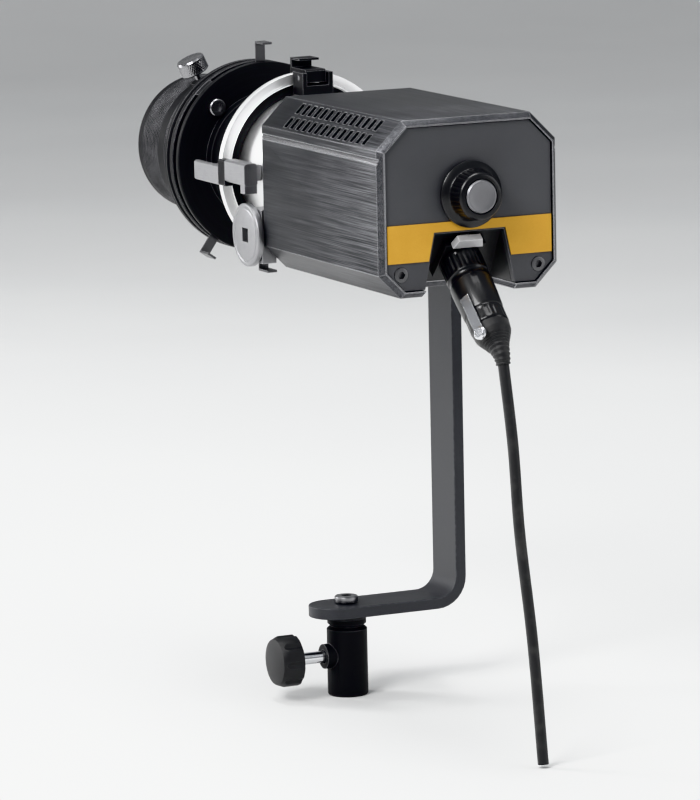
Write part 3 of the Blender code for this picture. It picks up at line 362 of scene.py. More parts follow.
def circuit_board():
    """Green solder mask with a hint of buried copper tracks."""
    look = Finish("circuit_board", (0.02, 0.11, 0.05), 0.35)
    tracks = look.add("ShaderNodeTexBrick")
    mapping = look.add("ShaderNodeMapping")
    look.feed(mapping.inputs["Vector"], look.place)
    mapping.inputs["Rotation"].default_value = (math.radians(90), 0, 0)
    mapping.inputs["Scale"].default_value = (120, 120, 120)
    look.links.new(mapping.outputs[0], tracks.inputs["Vector"])
    look.tint((0.05, 0.19, 0.08), tracks.outputs["Fac"])
    look.bump(tracks.outputs["Fac"], 0.00005, 0.4)
    return look.done()


def black_anodised(name, colour, roughness, centre):
    """Turned and black anodised: faint grooves, and bare metal showing thinly on the rims."""
    look = Finish(name, colour, roughness, 0.10)
    grooves = look.noise(0.00022, 3, place=look.round_place(centre))
    handling = look.noise(0.010, 4)
    look.tint([c * 2.2 + 0.004 for c in colour], look.spread(grooves, 0.42, 0.75, 0, 0.7))
    look.tint([c * 1.6 for c in colour], look.spread(handling, 0.45, 0.8, 0, 0.6))
    edge_tint = look.maths("MULTIPLY", look.edges(0.0006), look.spread(handling, 0.3, 0.7, 0.25, 0.7))
    look.tint((0.40, 0.40, 0.42), edge_tint)
    look.rougher(grooves, 0.20)
    look.rougher(handling, 0.16)
    look.bump(grooves, 0.00002, 0.5)
    look.put("Specular IOR Level", 0.25)
    return look.done()


def make_materials():
    """One material for each of the record's slots, and a few for single pieces."""
    optical = (0, 0, AXIS_Z)
    dimmer = (0, 0, middle("dimmer_cap").z)
    white = (0.95, 0.95, 0.95)
    even = (1, 1, 1)
    return {
        "gunmetal": brushed_gunmetal(),
        "panel_grey": powder_coat("panel_grey", (0.066, 0.067, 0.072), 0.55),
        "amber_label": amber_film(),
        "satin_black": black_anodised("satin_black", (0.006, 0.006, 0.007), 0.50, optical),
        "black_plastic": moulded_plastic("black_plastic", (0.014, 0.014, 0.015), 0.46),
        "gloss_black": moulded_plastic("gloss_black", (0.005, 0.005, 0.006), 0.34, 0.0009, 0.25),
        "satin_aluminium": milled_metal("satin_aluminium", (0.36, 0.36, 0.37), 0.42),
        "bright_aluminium": turned_metal("bright_aluminium", white, 0.44, optical, contrast=0.10),
        "cap_aluminium": turned_metal("cap_aluminium", (0.24, 0.24, 0.25), 0.44, dimmer, 0.00035),
        "disc_aluminium": milled_metal("disc_aluminium", (0.34, 0.34, 0.35), 0.46, even),
        "tab_aluminium": milled_metal("tab_aluminium", (0.62, 0.62, 0.63), 0.52, even, 0.5),
        "blade_steel": milled_metal("blade_steel", (0.15, 0.15, 0.155), 0.40, even),
        "dark_steel": milled_metal("dark_steel", (0.16, 0.16, 0.165), 0.38, even),
        "chrome": milled_metal("chrome", (0.86, 0.87, 0.89), 0.10, even),
        "strap_plating": milled_metal("strap_plating", (0.74, 0.75, 0.77), 0.24, even),
        "steel": milled_metal("steel", (0.34, 0.34, 0.35), 0.30, (1, 3, 1)),
        "knurled_steel": milled_metal("knurled_steel", (0.30, 0.30, 0.31), 0.26, even),
        "yoke_paint": powder_coat("yoke_paint", (0.042, 0.043, 0.048), 0.42, 0.0006, 0.00004, 0.6, 0.2),
        "cable_rubber": rubber("cable_rubber"),
        "lens_glass": coated_glass(),
        "phosphor": warm_phosphor(),
        "circuit_board": circuit_board(),
    }


MATERIALS = make_materials()


# Mesh tools


def new_piece(name, bm, node, material=None):
    """A new visible piece from a mesh in metres, with its CAD node's slot material unless another is given."""
    bmesh.ops.remove_doubles(bm, verts=bm.verts, dist=1e-7)
    bmesh.ops.recalc_face_normals(bm, faces=bm.faces)
    mesh = bpy.data.meshes.new(name)
    bm.to_mesh(mesh)
    bm.free()
    mesh.materials.append(MATERIALS[material or SLOT_OF[node]])
    thing = bpy.data.objects.new(name, mesh)
    bpy.context.scene.collection.objects.link(thing)
    smooth(mesh)
    return thing


def smooth(mesh, degrees=34):
    mesh.shade_smooth()
    mesh.set_sharp_from_angle(angle=math.radians(degrees))


def stand_for(thing, node, *others):
    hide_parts(node, *others)
    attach(thing, BODY_OF[node])
    return thing


def axis_matrix(centre, axis):
    """Turns local Z to the axis, and local zero to the centre."""
    return Matrix.Translation(centre) @ Vector(axis).to_track_quat("Z", "Y").to_matrix().to_4x4()


def turned_mesh(profile, centre, axis, segments, swell=None):
    """A solid of revolution from (radius, place along the axis) in millimetres.

    swell(angle, radius, along) gives the radius to use at that place, for flutes and knurls.
    """
    bm = bmesh.new()
    matrix = axis_matrix(centre, axis)
    rings = []
    for radius, along in profile:
        if radius < 1e-6:
            rings.append([bm.verts.new(matrix @ Vector((0, 0, along * MM)))])
            continue
        ring = []
        for i in range(segments):
            angle = math.tau * i / segments
            r = swell(angle, radius, along) if swell else radius
            spot = Vector((r * math.cos(angle), r * math.sin(angle), along)) * MM
            ring.append(bm.verts.new(matrix @ spot))
        rings.append(ring)
    for first, second in zip(rings, rings[1:] + rings[:1]):
        bridge(bm, first, second)
    return bm


def bridge(bm, first, second):
    """Faces between two rings, either of which may be a single point on the axis."""
    count = max(len(first), len(second))
    if count == 1:
        return
    for i in range(count):
        j = (i + 1) % count
        near = [first[i % len(first)], first[j % len(first)]]
        far = [second[j % len(second)], second[i % len(second)]]
        corners = list(dict.fromkeys(near + far))
        if len(corners) > 2:
            bm.faces.new(corners)


def softened(profile, radius=0.4, steps=3):
    """The profile with each corner off the axis rounded by a small arc."""
    found = []
    count = len(profile)
    for i, corner in enumerate(profile):
        before, here, after = Vector(profile[i - 1]), Vector(corner), Vector(profile[(i + 1) % count])
        if here.x < 1e-6 or (before - here).length < 1e-6 or (after - here).length < 1e-6:
            found.append(tuple(here))
            continue
        reach = min(radius, (before - here).length * 0.42, (after - here).length * 0.42)
        start = here + (before - here).normalized() * reach
        end = here + (after - here).normalized() * reach
        for k in range(steps + 1):
            t = k / steps
            found.append(tuple(start * (1 - t) ** 2 + here * 2 * t * (1 - t) + end * t**2))
    return found


def turned_piece(name, node, profile, centre, axis, segments=FINE, swell=None, material=None):
    bm = turned_mesh(profile, centre, axis, segments, swell)
    return stand_for(new_piece(name, bm, node, material), node)


def swept_mesh(path, radii, sides):
    """A round bar along a path in metres, with its own radius in millimetres at each point."""
    bm = bmesh.new()
    across = Vector((1, 0, 0))
    rings = []
    for i, point in enumerate(path):
        ahead = (path[min(i + 1, len(path) - 1)] - path[max(i - 1, 0)]).normalized()
        across = (across - ahead * across.dot(ahead)).normalized()
        other = ahead.cross(across)
        ring = []
        for k in range(sides):
            angle = math.tau * k / sides
            outwards = across * math.cos(angle) + other * math.sin(angle)
            ring.append(bm.verts.new(point + outwards * radii[i] * MM))
        rings.append(ring)
    for first, second in zip(rings, rings[1:]):
        bridge(bm, first, second)
    bm.faces.new(rings[0])
    bm.faces.new(rings[-1])
    return bm


def smooth_path(knots, steps):
    """Points on a Catmull-Rom curve through the knots."""
    spots = [2 * knots[0] - knots[1], *knots, 2 * knots[-1] - knots[-2]]
    found = []
    for a, b, c, d in zip(spots, spots[1:], spots[2:], spots[3:]):
        for i in range(steps):
            t = i / steps
            bend = 2 * a - 5 * b + 4 * c - d
            found.append(0.5 * (2 * b + (c - a) * t + bend * t**2 + (3 * b - a - 3 * c + d) * t**3))
    return [*found, knots[-1]]


def prism_mesh(outline, low, high, matrix):
    """A flat outline in millimetres drawn out along local Z, then placed by the matrix."""
    bm = bmesh.new()
    ends = []
    for along in (low, high):
        ends.append([bm.verts.new(matrix @ (Vector((a, b, along)) * MM)) for a, b in outline])
    bridge(bm, *ends)
    for end in ends:
        bm.faces.new(end)
    return bm


def carve(target, bm, operation="DIFFERENCE"):
    """Cuts a mesh out of a piece, or joins it on, for good."""
    bmesh.ops.recalc_face_normals(bm, faces=bm.faces)
    mesh = bpy.data.meshes.new("tool")
    bm.to_mesh(mesh)
    bm.free()
    mesh.materials.append(target.data.materials[0])
    tool = bpy.data.objects.new("tool", mesh)
    bpy.context.scene.collection.objects.link(tool)
    modifier = target.modifiers.new("carve", "BOOLEAN")
    modifier.operation = operation
    modifier.solver = "EXACT"
    modifier.object = tool
    apply_modifiers(target)
    bpy.data.objects.remove(tool)
    smooth(target.data)


def apply_modifiers(thing):
    graph = bpy.context.evaluated_depsgraph_get()
    made = bpy.data.meshes.new_from_object(thing.evaluated_get(graph))
    thing.modifiers.clear()
    thing.data = made


def regular_outline(count, radius, turn=0.0):
    angles = [math.radians(turn) + math.tau * i / count for i in range(count)]
    return [(radius * math.cos(angle), radius * math.sin(angle)) for angle in angles]


# CAD nodes that stay: their edges are eased and they take their slot's material


def dress_node(node, bevel=0.4, segments=2, material=None):
    """Gives a CAD node its material, and eases its edges with modifiers."""
    thing = NODES[node]
    mesh = thing.data
    mesh.materials.clear()
    mesh.materials.append(MATERIALS[material or SLOT_OF[node]])
    if "custom_normal" in mesh.attributes:
        mesh.attributes.remove(mesh.attributes["custom_normal"])
    mesh.shade_smooth()
    weld = thing.modifiers.new("weld", "WELD")
    weld.merge_threshold = 2e-6
    flat = thing.modifiers.new("one face for each plane", "DECIMATE")
    flat.decimate_type = "DISSOLVE"
    flat.angle_limit = math.radians(0.6)
    ease_edges(thing, bevel, segments)


def ease_edges(thing, width, segments=2):
    ease = thing.modifiers.new("eased edges", "BEVEL")
    ease.width = width * MM
    ease.segments = segments
    ease.limit_method = "ANGLE"
    ease.angle_limit = math.radians(28)
    ease.harden_normals = True


EASED = {
    "rear_panel": 0.25, "socket_tray": 0.3, "power_socket": 0.3, "socket_latch": 0.35,
    "plug_strap": 0.25, "yoke_arm": 0.9, "clamp_knob": 0.9, "clamp_screw": 0.2, "receiver_body": 0.3,
    "tilt_lock_knob": 0.8, "tilt_washer": 0.4, "pan_washer": 0.2, "front_frame": 0.4, "claw_left": 0.5,
    "claw_right": 0.5, "claw_top": 0.5, "front_block_left": 0.5, "front_block_right": 0.5, "latch_lever": 0.4,
    "latch_pin": 0.15, "shutter_blade_top": 0.15, "shutter_blade_left": 0.15,
    "shutter_blade_bottom": 0.15, "shutter_blade_right": 0.15, "claw_pad_left": 0.4, "claw_pad_right": 0.4,
    "heat_sink": 0.2, "led_module": 0.2,
    "fan_frame": 0.3, "fan_rotor": 0.2, "driver_board": 0.2, "dimmer_encoder": 0.3, "dimmer_shaft": 0.2,
    "label_band": 0.1, "gate_plate": 0.15, "tilt_bolt": 0.2,
}


# Pieces whose surface differs from the rest of their slot.
OWN_FINISH = {"socket_latch": "tab_aluminium", "plug_strap": "strap_plating"}
OWN_FINISH.update({f"shutter_blade_{side}": "blade_steel" for side in ("top", "left", "bottom", "right")})


def dress_cad_nodes():
    for node, bevel in EASED.items():
        dress_node(node, bevel, material=OWN_FINISH.get(node))


# Fine pieces


def build_lens_tube():
    """Focusing tube: close grip grooves, a chamfered front rim, and stray-light ridges inside it."""
    front, back = behind_rear("lens_tube")
    radius = half_width("lens_tube")
    bore = radius - 3.7
    outer = [(radius, back)]
    groove_pitch, groove_count = 2.4, 13
    floor = radius - 0.55
    first_groove = front + 8
    for i in reversed(range(groove_count)):
        y = first_groove + groove_pitch * i
        outer += [(radius, y + 1.5), (floor, y + 1.2), (floor, y + 0.3), (radius, y)]
    rim = [(radius, front + 1.0), (radius - 1.0, front), (bore + 1.6, front), (bore + 0.6, front + 0.8)]
    ridges = []
    ridge_pitch = 1.3
    for i in range(3):
        y = front + 1.4 + ridge_pitch * i
        ridges += [(bore + 0.5, y), (bore + 0.1, y + ridge_pitch / 2), (bore + 0.5, y + ridge_pitch)]
    profile = [*outer, *rim, *ridges, (bore, front + 6), (bore, back)]
    turned_piece("lens_tube_fine", "lens_tube", profile, CENTRE, BEAM)


def domed_lens(name, node, rim_radius, sag, forward):
    """A plano-convex lens between its box's two ends, domed forwards or backwards, with a ground rim."""
    front, back = behind_rear(node)
    steps = 14
    flat, peak = (back, front) if forward else (front, back)
    edge = peak + sag if forward else peak - sag
    sphere = (rim_radius**2 + sag**2) / (2 * sag)
    dome = []
    for i in range(steps + 1):
        r = rim_radius * i / steps
        drop = sphere - math.sqrt(sphere**2 - r**2)
        dome.append((r, peak + drop if forward else peak - drop))
    profile = [*dome, (rim_radius, edge), (rim_radius, flat), (0, flat)]
    profile = list(dict.fromkeys(profile))
    return turned_piece(name, node, profile, CENTRE, BEAM, MEDIUM)


def build_lenses():
    domed_lens("front_lens_fine", "front_lens", half_width("front_lens"), 4.0, True)
    domed_lens("rear_lens_fine", "rear_lens", half_width("rear_lens"), 7.0, False)
    domed_lens("condenser_lens_fine", "condenser_lens", half_width("condenser_lens"), 9.0, False)


def build_barrel_and_ring():
    """The bright tube on the lamp, and the projector's bright ring plate, its recess painted satin black as shade.
    """
    front, back = behind_rear("mount_barrel")
    radius = half_width("mount_barrel")
    barrel = [(radius - 3, back), (radius, back), (radius, front), (radius - 3, front)]
    turned_piece("mount_barrel_fine", "mount_barrel", softened(barrel, 0.6), CENTRE, BEAM)
    front, back = behind_rear("ring_plate")
    outer = half_width("ring_plate")
    inner = radius + 0.6
    step = outer - 7
    ring = [
        (inner, front), (outer, front), (outer, back), (step + 1.6, back), (step + 1.2, back - 0.5),
        (step + 0.5, back - 0.5), (step, back), (step, back - 2.6), (inner, back - 2.6),
    ]
    plate = turned_piece("ring_plate_fine", "ring_plate", softened(ring, 0.35), CENTRE, BEAM)
    # Painted shade: the ring's recess is coloured satin black.
    paint_recess_shade(plate.data, step - 0.4)


def paint_recess_shade(mesh, radius):
    """Paints shade: gives satin black to the faces that are nearer to the beam's axis than this radius."""
    mesh.materials.append(MATERIALS["satin_black"])
    for face in mesh.polygons:
        away = face.center - CENTRE
        if math.hypot(away.x, away.z) < radius * MM:
            face.material_index = 1


def build_housing():
    """The shell with a shallow groove along each side, under the upper chamfer, and eased edges."""
    source = NODES["housing_shell"]
    low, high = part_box("housing_shell")
    mesh = source.data.copy()
    mesh.materials.clear()
    mesh.materials.append(MATERIALS["gunmetal"])
    mesh.transform(source.matrix_world)
    shell = bpy.data.objects.new("housing_shell_fine", mesh)
    bpy.context.scene.collection.objects.link(shell)
    groove_height, groove_half, groove_depth = AXIS_Z + 28.5 * MM, 0.35 * MM, 0.5 * MM
    bottom, top = groove_height - groove_half, groove_height + groove_half
    for side in (low.x, high.x):
        left, right = side - groove_depth, side + groove_depth
        outline = [(left, bottom), (right, bottom), (right, top), (left, top)]
        bm = bmesh.new()
        ends = [[bm.verts.new((x, y, z)) for x, z in outline] for y in (low.y - MM, high.y + MM)]
        bridge(bm, *ends)
        for end in ends:
            bm.faces.new(end)
        carve(shell, bm)
    ease_edges(shell, 0.5)
    stand_for(shell, "housing_shell")


def build_front_housing():
    """Two rims in front of the shutters, spacers beside their handles, a collar and the thumbscrew's boss."""
    front, back = behind_rear("front_housing")
    wide, bore = half_width("front_housing"), half_width("lens_tube") + 0.4
    rear = -306.7  # the face that the shutters slide on
    collar, collar_back, opening = 49.8, -313.5, 26
    profile = [
        (opening, rear), (wide - 0.5, rear), (wide, rear - 0.5), (wide, rear - 4.2), (wide - 0.6, rear - 4.8),
        (wide - 2.4, rear - 5.2), (wide - 2.4, rear - 8.2), (wide - 0.6, rear - 8.6), (wide, rear - 9.2),
        (wide, rear - 12.6), (wide - 1, rear - 13.8), (57.2, rear - 13.8), (57.2, rear - 17.6),
        (56.8, rear - 18.2), (55.3, rear - 19), (55.3, rear - 27), (54.4, rear - 28.6),
        (collar + 0.6, rear - 30.3), (collar, rear - 31), (collar, rear - 40),
        (collar - 0.5, rear - 40.4), (collar - 0.5, rear - 41.4),
        (collar, rear - 41.8), (collar, front + 0.9), (collar - 0.9, front), (bore + 0.6, front),
        (bore, front + 0.6), (bore, collar_back), (opening, collar_back),
    ]
    body = turned_mesh(profile, CENTRE, BEAM, FINE)
    piece = new_piece("front_housing_fine", body, "front_housing")
    spacer_width, spacer_inner, spacer_outer = 12, 57, 61.7
    for angle in (40, 160, 200, 320):
        spacer = spacer_mesh(angle, spacer_width, spacer_inner, spacer_outer, rear - 1, back)
        carve(piece, spacer, "UNION")
    joint = JOINTS["focus_lock_turn"]
    centre, axis = Vector(joint["pos_m"]), Vector(joint["axis"])
    boss = softened([(0, 47), (6, 47), (6, 51.5), (0, 51.5)], 0.5)
    carve(piece, turned_mesh(boss, centre, axis, SMALL), "UNION")
    carve(piece, turned_mesh([(0, 40), (2.3, 40), (2.3, 60), (0, 60)], centre, axis, SMALL))
    stand_for(piece, "front_housing")


def spacer_mesh(angle, width, inner, outer, low, high):
    """A short curved bar between two radii and two places along the beam, at an angle from the top."""
    bm = bmesh.new()
    rows = []
    for i in range(7):
        turn = math.radians(angle - width / 2 + width * i / 6)
        spots = [(inner, low), (outer, low), (outer, high), (inner, high)]
        rows.append([bm.verts.new(lamp_point(r * math.sin(turn), y, r * math.cos(turn))) for r, y in spots])
    for first, second in zip(rows, rows[1:]):
        bridge(bm, first, second)
    bm.faces.new(rows[0])
    bm.faces.new(rows[-1])
    return bm


def build_drum():
    """Gate drum: rear flange, waist with two shallow bands, and the wide flange the shutters slide behind."""
    front, back = behind_rear("drum")
    wide = half_width("drum")
    waist, bore = 42, 39
    profile = [
        (bore - 0.5, back), (53, back), (53, back - 3.2), (waist, back - 5.2), (waist, back - 14),
        (waist - 0.5, back - 14.4), (waist - 0.5, back - 16.4), (waist, back - 16.8), (waist, front + 14),
        (waist - 0.5, front + 13.6), (waist - 0.5, front + 11.6), (waist, front + 11.2), (waist, front + 4.5),
        (wide - 0.6, front + 4.5), (wide, front + 3.9), (wide, front + 0.5), (wide - 0.5, front), (36, front),
        (36, front + 4.5), (bore, front + 4.5), (bore, back - 4.7),
    ]
    turned_piece("drum_fine", "drum", softened(profile, 0.3, 2), CENTRE, BEAM)


def build_pivot_discs():
    """Friction discs on the tilt axis. The spare one, on the left, shows its square drive hole."""
    hole = regular_outline(4, 4.4 * math.sqrt(2), 45)
    for node, side in (("pivot_disc_left", 1), ("pivot_disc_right", -1)):
        low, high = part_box(node)
        centre = Vector(((low.x + high.x) / 2, (low.y + high.y) / 2, (low.z + high.z) / 2))
        radius = (high.z - low.z) / 2 / MM
        half = (high.x - low.x) / 2 / MM
        profile = [
            (0, -half), (radius, -half), (radius, half - 0.7), (radius - 0.7, half), (radius - 2.6, half),
            (radius - 3.0, half - 0.35), (radius - 3.6, half - 0.35), (radius - 4.0, half), (0, half),
        ]
        disc = turned_mesh(softened(profile, 0.2, 2), centre, (side, 0, 0), FINE)
        piece = new_piece(node + "_fine", disc, node, "disc_aluminium")
        shape = hole if side > 0 else regular_outline(32, 4.5)
        carve(piece, prism_mesh(shape, -8, 8, axis_matrix(centre, (side, 0, 0))))
        stand_for(piece, node)


def build_dimmer():
    """Moulded knob: a skirt, a fluted grip that narrows outwards, and a metal cap let into its face."""
    axis_z = middle("dimmer_cap").z
    centre = Vector((0, REAR_Y, axis_z))
    back, face = behind_rear("dimmer_knob")
    radius = half_width("dimmer_knob")
    flutes = 30
    grip_start, grip_end = 5.2, 14.6

    def fluted(angle, r, along):
        if along < grip_start or along > grip_end or r < 11:
            return r
        ease = min(1, (along - grip_start) / 0.8, (grip_end - along) / 0.8)
        return r - 0.42 * ease * max(0, math.cos(angle * flutes)) ** 2

    grip = []
    for i in range(13):
        t = i / 12
        grip.append((15.7 - 1.2 * t, grip_start + (grip_end - grip_start) * t))
    profile = [
        (3.4, back), (radius - 0.4, back), (radius, back + 0.5), (radius, 2.4), (radius - 0.5, 2.9),
        (18.2, 3.7), (17.0, 4.4), (16.0, 4.8), *grip, (14.2, 15.2), (13.6, 15.9), (12.8, face), (11.0, face),
        (10.6, face - 0.3), (10.5, 14.4), (0, 14.4), (0, 12.4), (3.4, 12.4),
    ]
    turned_piece("dimmer_knob_fine", "dimmer_knob", profile, centre, (0, 1, 0), flutes * 8, fluted)
    back, face = behind_rear("dimmer_cap")
    radius = half_width("dimmer_cap")
    cap = [(0, back), (radius, back), (radius, face - 0.9), (radius - 0.8, face - 0.1), (radius - 1.4, face)]
    cap += [(radius - 2.0, face - 0.15), (5, face - 0.3), (0, face - 0.35)]
    turned_piece("dimmer_cap_fine", "dimmer_cap", cap, centre, (0, 1, 0), MEDIUM, material="cap_aluminium")


def plug_centre():
    """Where the plug's axis crosses the connector's sloping face."""
    spots = {tuple(round(c, 6) for c in vertex.co) for vertex in NODES["plug_shell"].data.vertices}
    centre = sum((Vector(spot) for spot in spots), Vector()) / len(spots)
    reach = [(Vector(spot) - centre).dot(PLUG_OUT) / MM for spot in spots]
    nose_end = -15
    return centre + PLUG_OUT * (min(reach) - nose_end) * MM


def build_plug():
    """Locking power plug: nose, fluted locking ring, smooth body with a knurled end, then a ribbed boot."""
    centre = plug_centre()
    flutes = 20
    ring_low, ring_high = 8.2, 19.8
    nut_low, nut_high = 50.0, 58.6

    def gripped(angle, r, along):
        wave = 0.5 + 0.5 * math.cos(angle * flutes)
        if ring_low < along < ring_high and r > 12:
            return r - 0.55 * min(1, along - ring_low, ring_high - along) * wave**3
        if nut_low < along < nut_high and r > 11:
            return r - 0.35 * min(1, along - nut_low, nut_high - along) * wave
        return r

    ring = [(13.3, ring_low + (ring_high - ring_low) * i / 12) for i in range(13)]
    nut = [(12.25, nut_low + (nut_high - nut_low) * i / 8) for i in range(9)]
    profile = [
        (0, -15), (8.2, -15), (8.9, -14.3), (8.9, 5.8), (12.2, 5.8), (13.0, 6.3), (13.3, 7.2), *ring,
        (13.2, 20.6), (12.4, 21.4), (12.2, 22), (12.2, 24.2), (12.6, 25), (13.2, 25.6), (13.3, 28),
        (13.1, 37), (12.6, 47), (12.3, 48.4), (11.8, 48.8), (11.8, 49.4), *nut, (12.1, 59.2), (11.6, 60),
        (0, 60),
    ]
    turned_piece("plug_shell_fine", "plug_shell", profile, centre, PLUG_OUT, flutes * 8, gripped)
    build_boot(centre)


def build_boot(centre):
    """Rubber boot that narrows in ribs towards the cable and bends down with it."""
    cable_top = Vector(JOINTS["cable_swing"]["pos_m"])
    knots = [centre + PLUG_OUT * n * MM for n in (60.3, 65, 68.5, 72, 75.5)]
    knots += [cable_top + Vector(offset) * MM for offset in ((0.2, -2.9, 10.6), (0.1, -1.3, 5.6))]
    widths = [12.0, 11.4, 9.8, 8.0, 6.4, 5.2, 4.4]
    steps = 8
    path = smooth_path(knots, steps)
    radii = []
    for i in range(len(path)):
        k = min(i // steps, len(widths) - 2)
        share = i / steps - k
        rib = 0.4 if i > 2 * steps and i % 4 in (1, 2) else 0
        radii.append(widths[k] * (1 - share) + widths[k + 1] * share - rib)
    stand_for(new_piece("plug_boot_fine", swept_mesh(path, radii, MEDIUM), "plug_boot"), "plug_boot")


def build_cable():
    """Cable that leaves the boot and hangs; it is baked in place and rides on no body."""
    top = Vector(JOINTS["cable_swing"]["pos_m"])
    radius = 3.4
    offsets = [
        (0.15, -2.0, 8.0), (0, 0, 0), (-2.4, 5, -44), (-3.9, 9, -96), (-8.6, 14.6, -162), (-12, 19.4, -235.8),
    ]
    path = smooth_path([top + Vector(offset) * MM for offset in offsets], 16)
    cable = new_piece("power_cable_fine", swept_mesh(path, [radius] * len(path), SMALL), "power_cable")
    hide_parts("power_cable")
    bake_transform(cable)


def build_focus_screw():
    """Thumbscrew with a diamond knurl, which locks the lens tube."""
    joint = JOINTS["focus_lock_turn"]
    centre, axis = Vector(joint["pos_m"]), Vector(joint["axis"])
    teeth, rows = 36, 13
    low, high = 58.0, 66.2

    def knurled(angle, r, along):
        if r < 9.3 or not low < along < high:
            return r
        height = (along - low) / (high - low) * 3.0
        one = abs(math.sin(angle * teeth / 2 + height * math.pi))
        other = abs(math.sin(angle * teeth / 2 - height * math.pi))
        return r - 0.34 * (1 - min(one, other))

    side = [(9.4, low + (high - low) * i / (rows - 1)) for i in range(rows)]
    profile = [
        (0, 48), (1.6, 48), (2, 48.4), (2, 57.2), (8.5, 57.2), (9.1, 57.6), *side, (8.7, 67.2),
        (7.6, 67.5), (6.6, 67.3), (0, 67.1),
    ]
    finish = "knurled_steel"
    turned_piece("focus_screw_fine", "focus_screw", profile, centre, axis, teeth * 6, knurled, finish)


def socket_screw(name, node, axis, head_radius, countersunk, hex_size, material):
    """A screw with a hexagon socket. Its head's face is at the end of its box that the axis points to."""
    low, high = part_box(node)
    centre = (low + high) / 2
    along = Vector(axis)
    half = abs((high - low).dot(along)) / 2 / MM
    stem = 0.45 * head_radius
    if countersunk:
        taper = 0.62 * head_radius
        head = [(stem, half - taper), (head_radius, half - 0.5), (head_radius - 0.1, half)]
    else:
        tall = 3.9
        head = [(stem, half - tall), (head_radius, half - tall), (head_radius, half - 0.7)]
        head += [(head_radius - 0.6, half - 0.05), (head_radius - 1.3, half)]
    profile = [(0, -half), (stem, -half), *head, (0, half)]
    bm = turned_mesh(softened(profile, 0.12, 2), centre, along, SMALL)
    piece = new_piece(name, bm, node, material)
    carve(piece, prism_mesh(regular_outline(6, hex_size), half - 2.4, half + 2, axis_matrix(centre, along)))
    stand_for(piece, node)


def build_screws():
    for side in ("left", "right"):
        node = f"panel_screw_{side}"
        socket_screw(node + "_fine", node, BEAM, 4.5, True, 2.5, "dark_steel")
    for i in range(1, 4):
        node = f"shutter_screw_{i}"
        socket_screw(node + "_fine", node, BEAM, 5.7, False, 3.0, "steel")
    socket_screw("pan_bolt_fine", "pan_bolt", (0, 0, 1), 7.6, False, 3.6, "steel")


def build_reflector():
    """Thin bright cone that gathers the emitter's light."""
    front, back = behind_rear("reflector")
    outer = [(14.2, back), (24, back - 14), (33.5, back - 37.6), (33.5, front)]
    inner = [(31.8, front), (31.8, back - 38.2), (22.5, back - 15), (13.0, back)]
    profile = softened(outer + inner, 0.3, 2)
    turned_piece("reflector_fine", "reflector", profile, CENTRE, BEAM, MEDIUM)


# Studio


def softbox(name, place, target, size, power, colour=(1, 1, 1)):
    light = bpy.data.lights.new(name, "AREA")
    light.shape = "RECTANGLE"
    light.size, light.size_y = size
    light.energy = power
    light.color = colour
    thing = bpy.data.objects.new(name, light)
    facing = (Vector(target) - Vector(place)).to_track_quat("-Z", "Y").to_matrix().to_4x4()
    thing.matrix_world = Matrix.Translation(place) @ facing
    bpy.context.scene.collection.objects.link(thing)


def build_floor(level):
    """Pale sweep: a floor that curves up into a backdrop on the side away from the camera."""
    bm = bmesh.new()
    reach, turn, height = 5.0, 1.2, 3.5
    outline = [(reach, 0.0)]
    for degrees in range(0, 91, 6):
        angle = math.radians(degrees)
        outline.append((-reach + turn * (1 - math.sin(angle)), turn * (1 - math.cos(angle))))
    outline.append((-reach, height))
    rows = [[bm.verts.new((x, y, level + z)) for x in (-7, -3, 3, 7)] for y, z in outline]
    for first, second in zip(rows, rows[1:]):
        for i in range(3):
            bm.faces.new((first[i], first[i + 1], second[i + 1], second[i]))
    mesh = bpy.data.meshes.new("floor")
    bm.to_mesh(mesh)
    bm.free()
    mesh.shade_smooth()
    look = Finish("floor_paper", (0.80, 0.80, 0.79), 0.8)
    look.tint((0.74, 0.74, 0.735), look.spread(look.noise(0.4, 3), 0.35, 0.7, 0, 0.5))
    look.bump(look.noise(0.002, 2), 0.0001, 0.2)
    mesh.materials.append(look.done())
    thing = bpy.data.objects.new("floor", mesh)
    bpy.context.scene.collection.objects.link(thing)


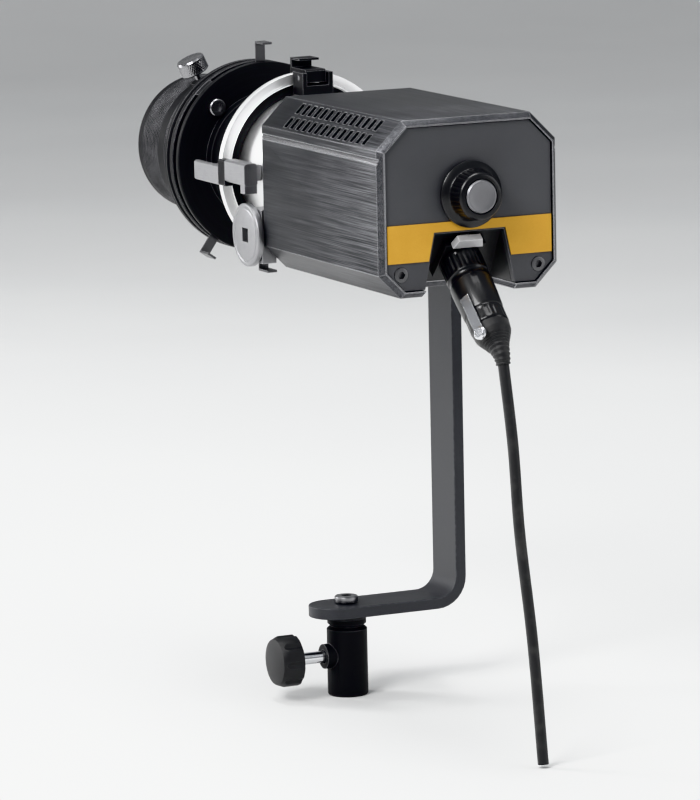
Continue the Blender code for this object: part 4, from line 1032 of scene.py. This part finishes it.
def build_lights(centre):
    softbox("key", centre + Vector((1.6, 1.0, 1.5)), centre, (1.0, 1.0), 44)
    softbox("fill", centre + Vector((-1.7, 1.8, 0.6)), centre, (1.2, 1.4), 11)
    softbox("top", centre + Vector((0.0, -0.2, 1.8)), centre, (0.9, 1.5), 24)
    softbox("rim", centre + Vector((1.7, -1.6, 0.8)), centre, (0.7, 1.4), 34)
    world = bpy.data.worlds.new("studio")
    world.use_nodes = True
    nodes, links = world.node_tree.nodes, world.node_tree.links
    split = nodes.new("ShaderNodeSeparateXYZ")
    links.new(nodes.new("ShaderNodeTexCoord").outputs["Generated"], split.inputs[0])
    ramp = nodes.new("ShaderNodeValToRGB")
    ramp.color_ramp.elements[0].position = 0.42
    ramp.color_ramp.elements[0].color = (0.16, 0.165, 0.175, 1)
    ramp.color_ramp.elements[1].position = 0.85
    ramp.color_ramp.elements[1].color = (0.85, 0.87, 0.90, 1)
    height = nodes.new("ShaderNodeMapRange")
    height.inputs["From Min"].default_value = -1
    links.new(split.outputs[2], height.inputs["Value"])
    links.new(height.outputs[0], ramp.inputs[0])
    links.new(ramp.outputs[0], nodes["Background"].inputs["Color"])
    nodes["Background"].inputs["Strength"].default_value = 0.6
    bpy.context.scene.world = world


# The camera stands to the rear and left, a little above the lamp, at these distances in metres from the
# centre of the housing's rear edge. It leans by a degree or so, as a hand-set tripod does.
CAMERA_PLACE = (1.468, 2.968, 0.424)
CAMERA_LEAN = math.radians(-1.2)
CAMERA_LENS = 250
AIM_FROM_CENTRE = (0.021, 0.009, -0.010)


def build_camera(centre):
    place = Vector((0, REAR_Y, AXIS_Z)) + Vector(CAMERA_PLACE)
    ahead = (centre + Vector(AIM_FROM_CENTRE) - place).normalized()
    right = ahead.cross(Vector((0, 0, 1))).normalized()
    up = right.cross(ahead)
    leaning = right * math.cos(CAMERA_LEAN) + up * math.sin(CAMERA_LEAN)
    upright = up * math.cos(CAMERA_LEAN) - right * math.sin(CAMERA_LEAN)
    data = bpy.data.cameras.new("camera")
    data.sensor_fit = "VERTICAL"
    data.sensor_height = 36
    data.lens = CAMERA_LENS
    data.clip_start = 0.05
    camera = bpy.data.objects.new("camera", data)
    turn = Matrix((leaning, upright, -ahead)).transposed().to_4x4()
    camera.matrix_world = Matrix.Translation(place) @ turn
    bpy.context.scene.collection.objects.link(camera)
    bpy.context.scene.camera = camera


def build_studio():
    low, high = Vector(CAD_BOX[0]), Vector(CAD_BOX[1])
    centre = (low + high) / 2
    build_floor(low.z)
    build_lights(centre)
    build_camera(centre)
    bpy.context.scene.view_settings.view_transform = "Khronos PBR Neutral"


dress_cad_nodes()
build_housing()
build_front_housing()
build_lens_tube()
build_lenses()
build_barrel_and_ring()
build_drum()
build_pivot_discs()
build_dimmer()
build_plug()
build_cable()
build_focus_screw()
build_screws()
build_reflector()
build_studio()
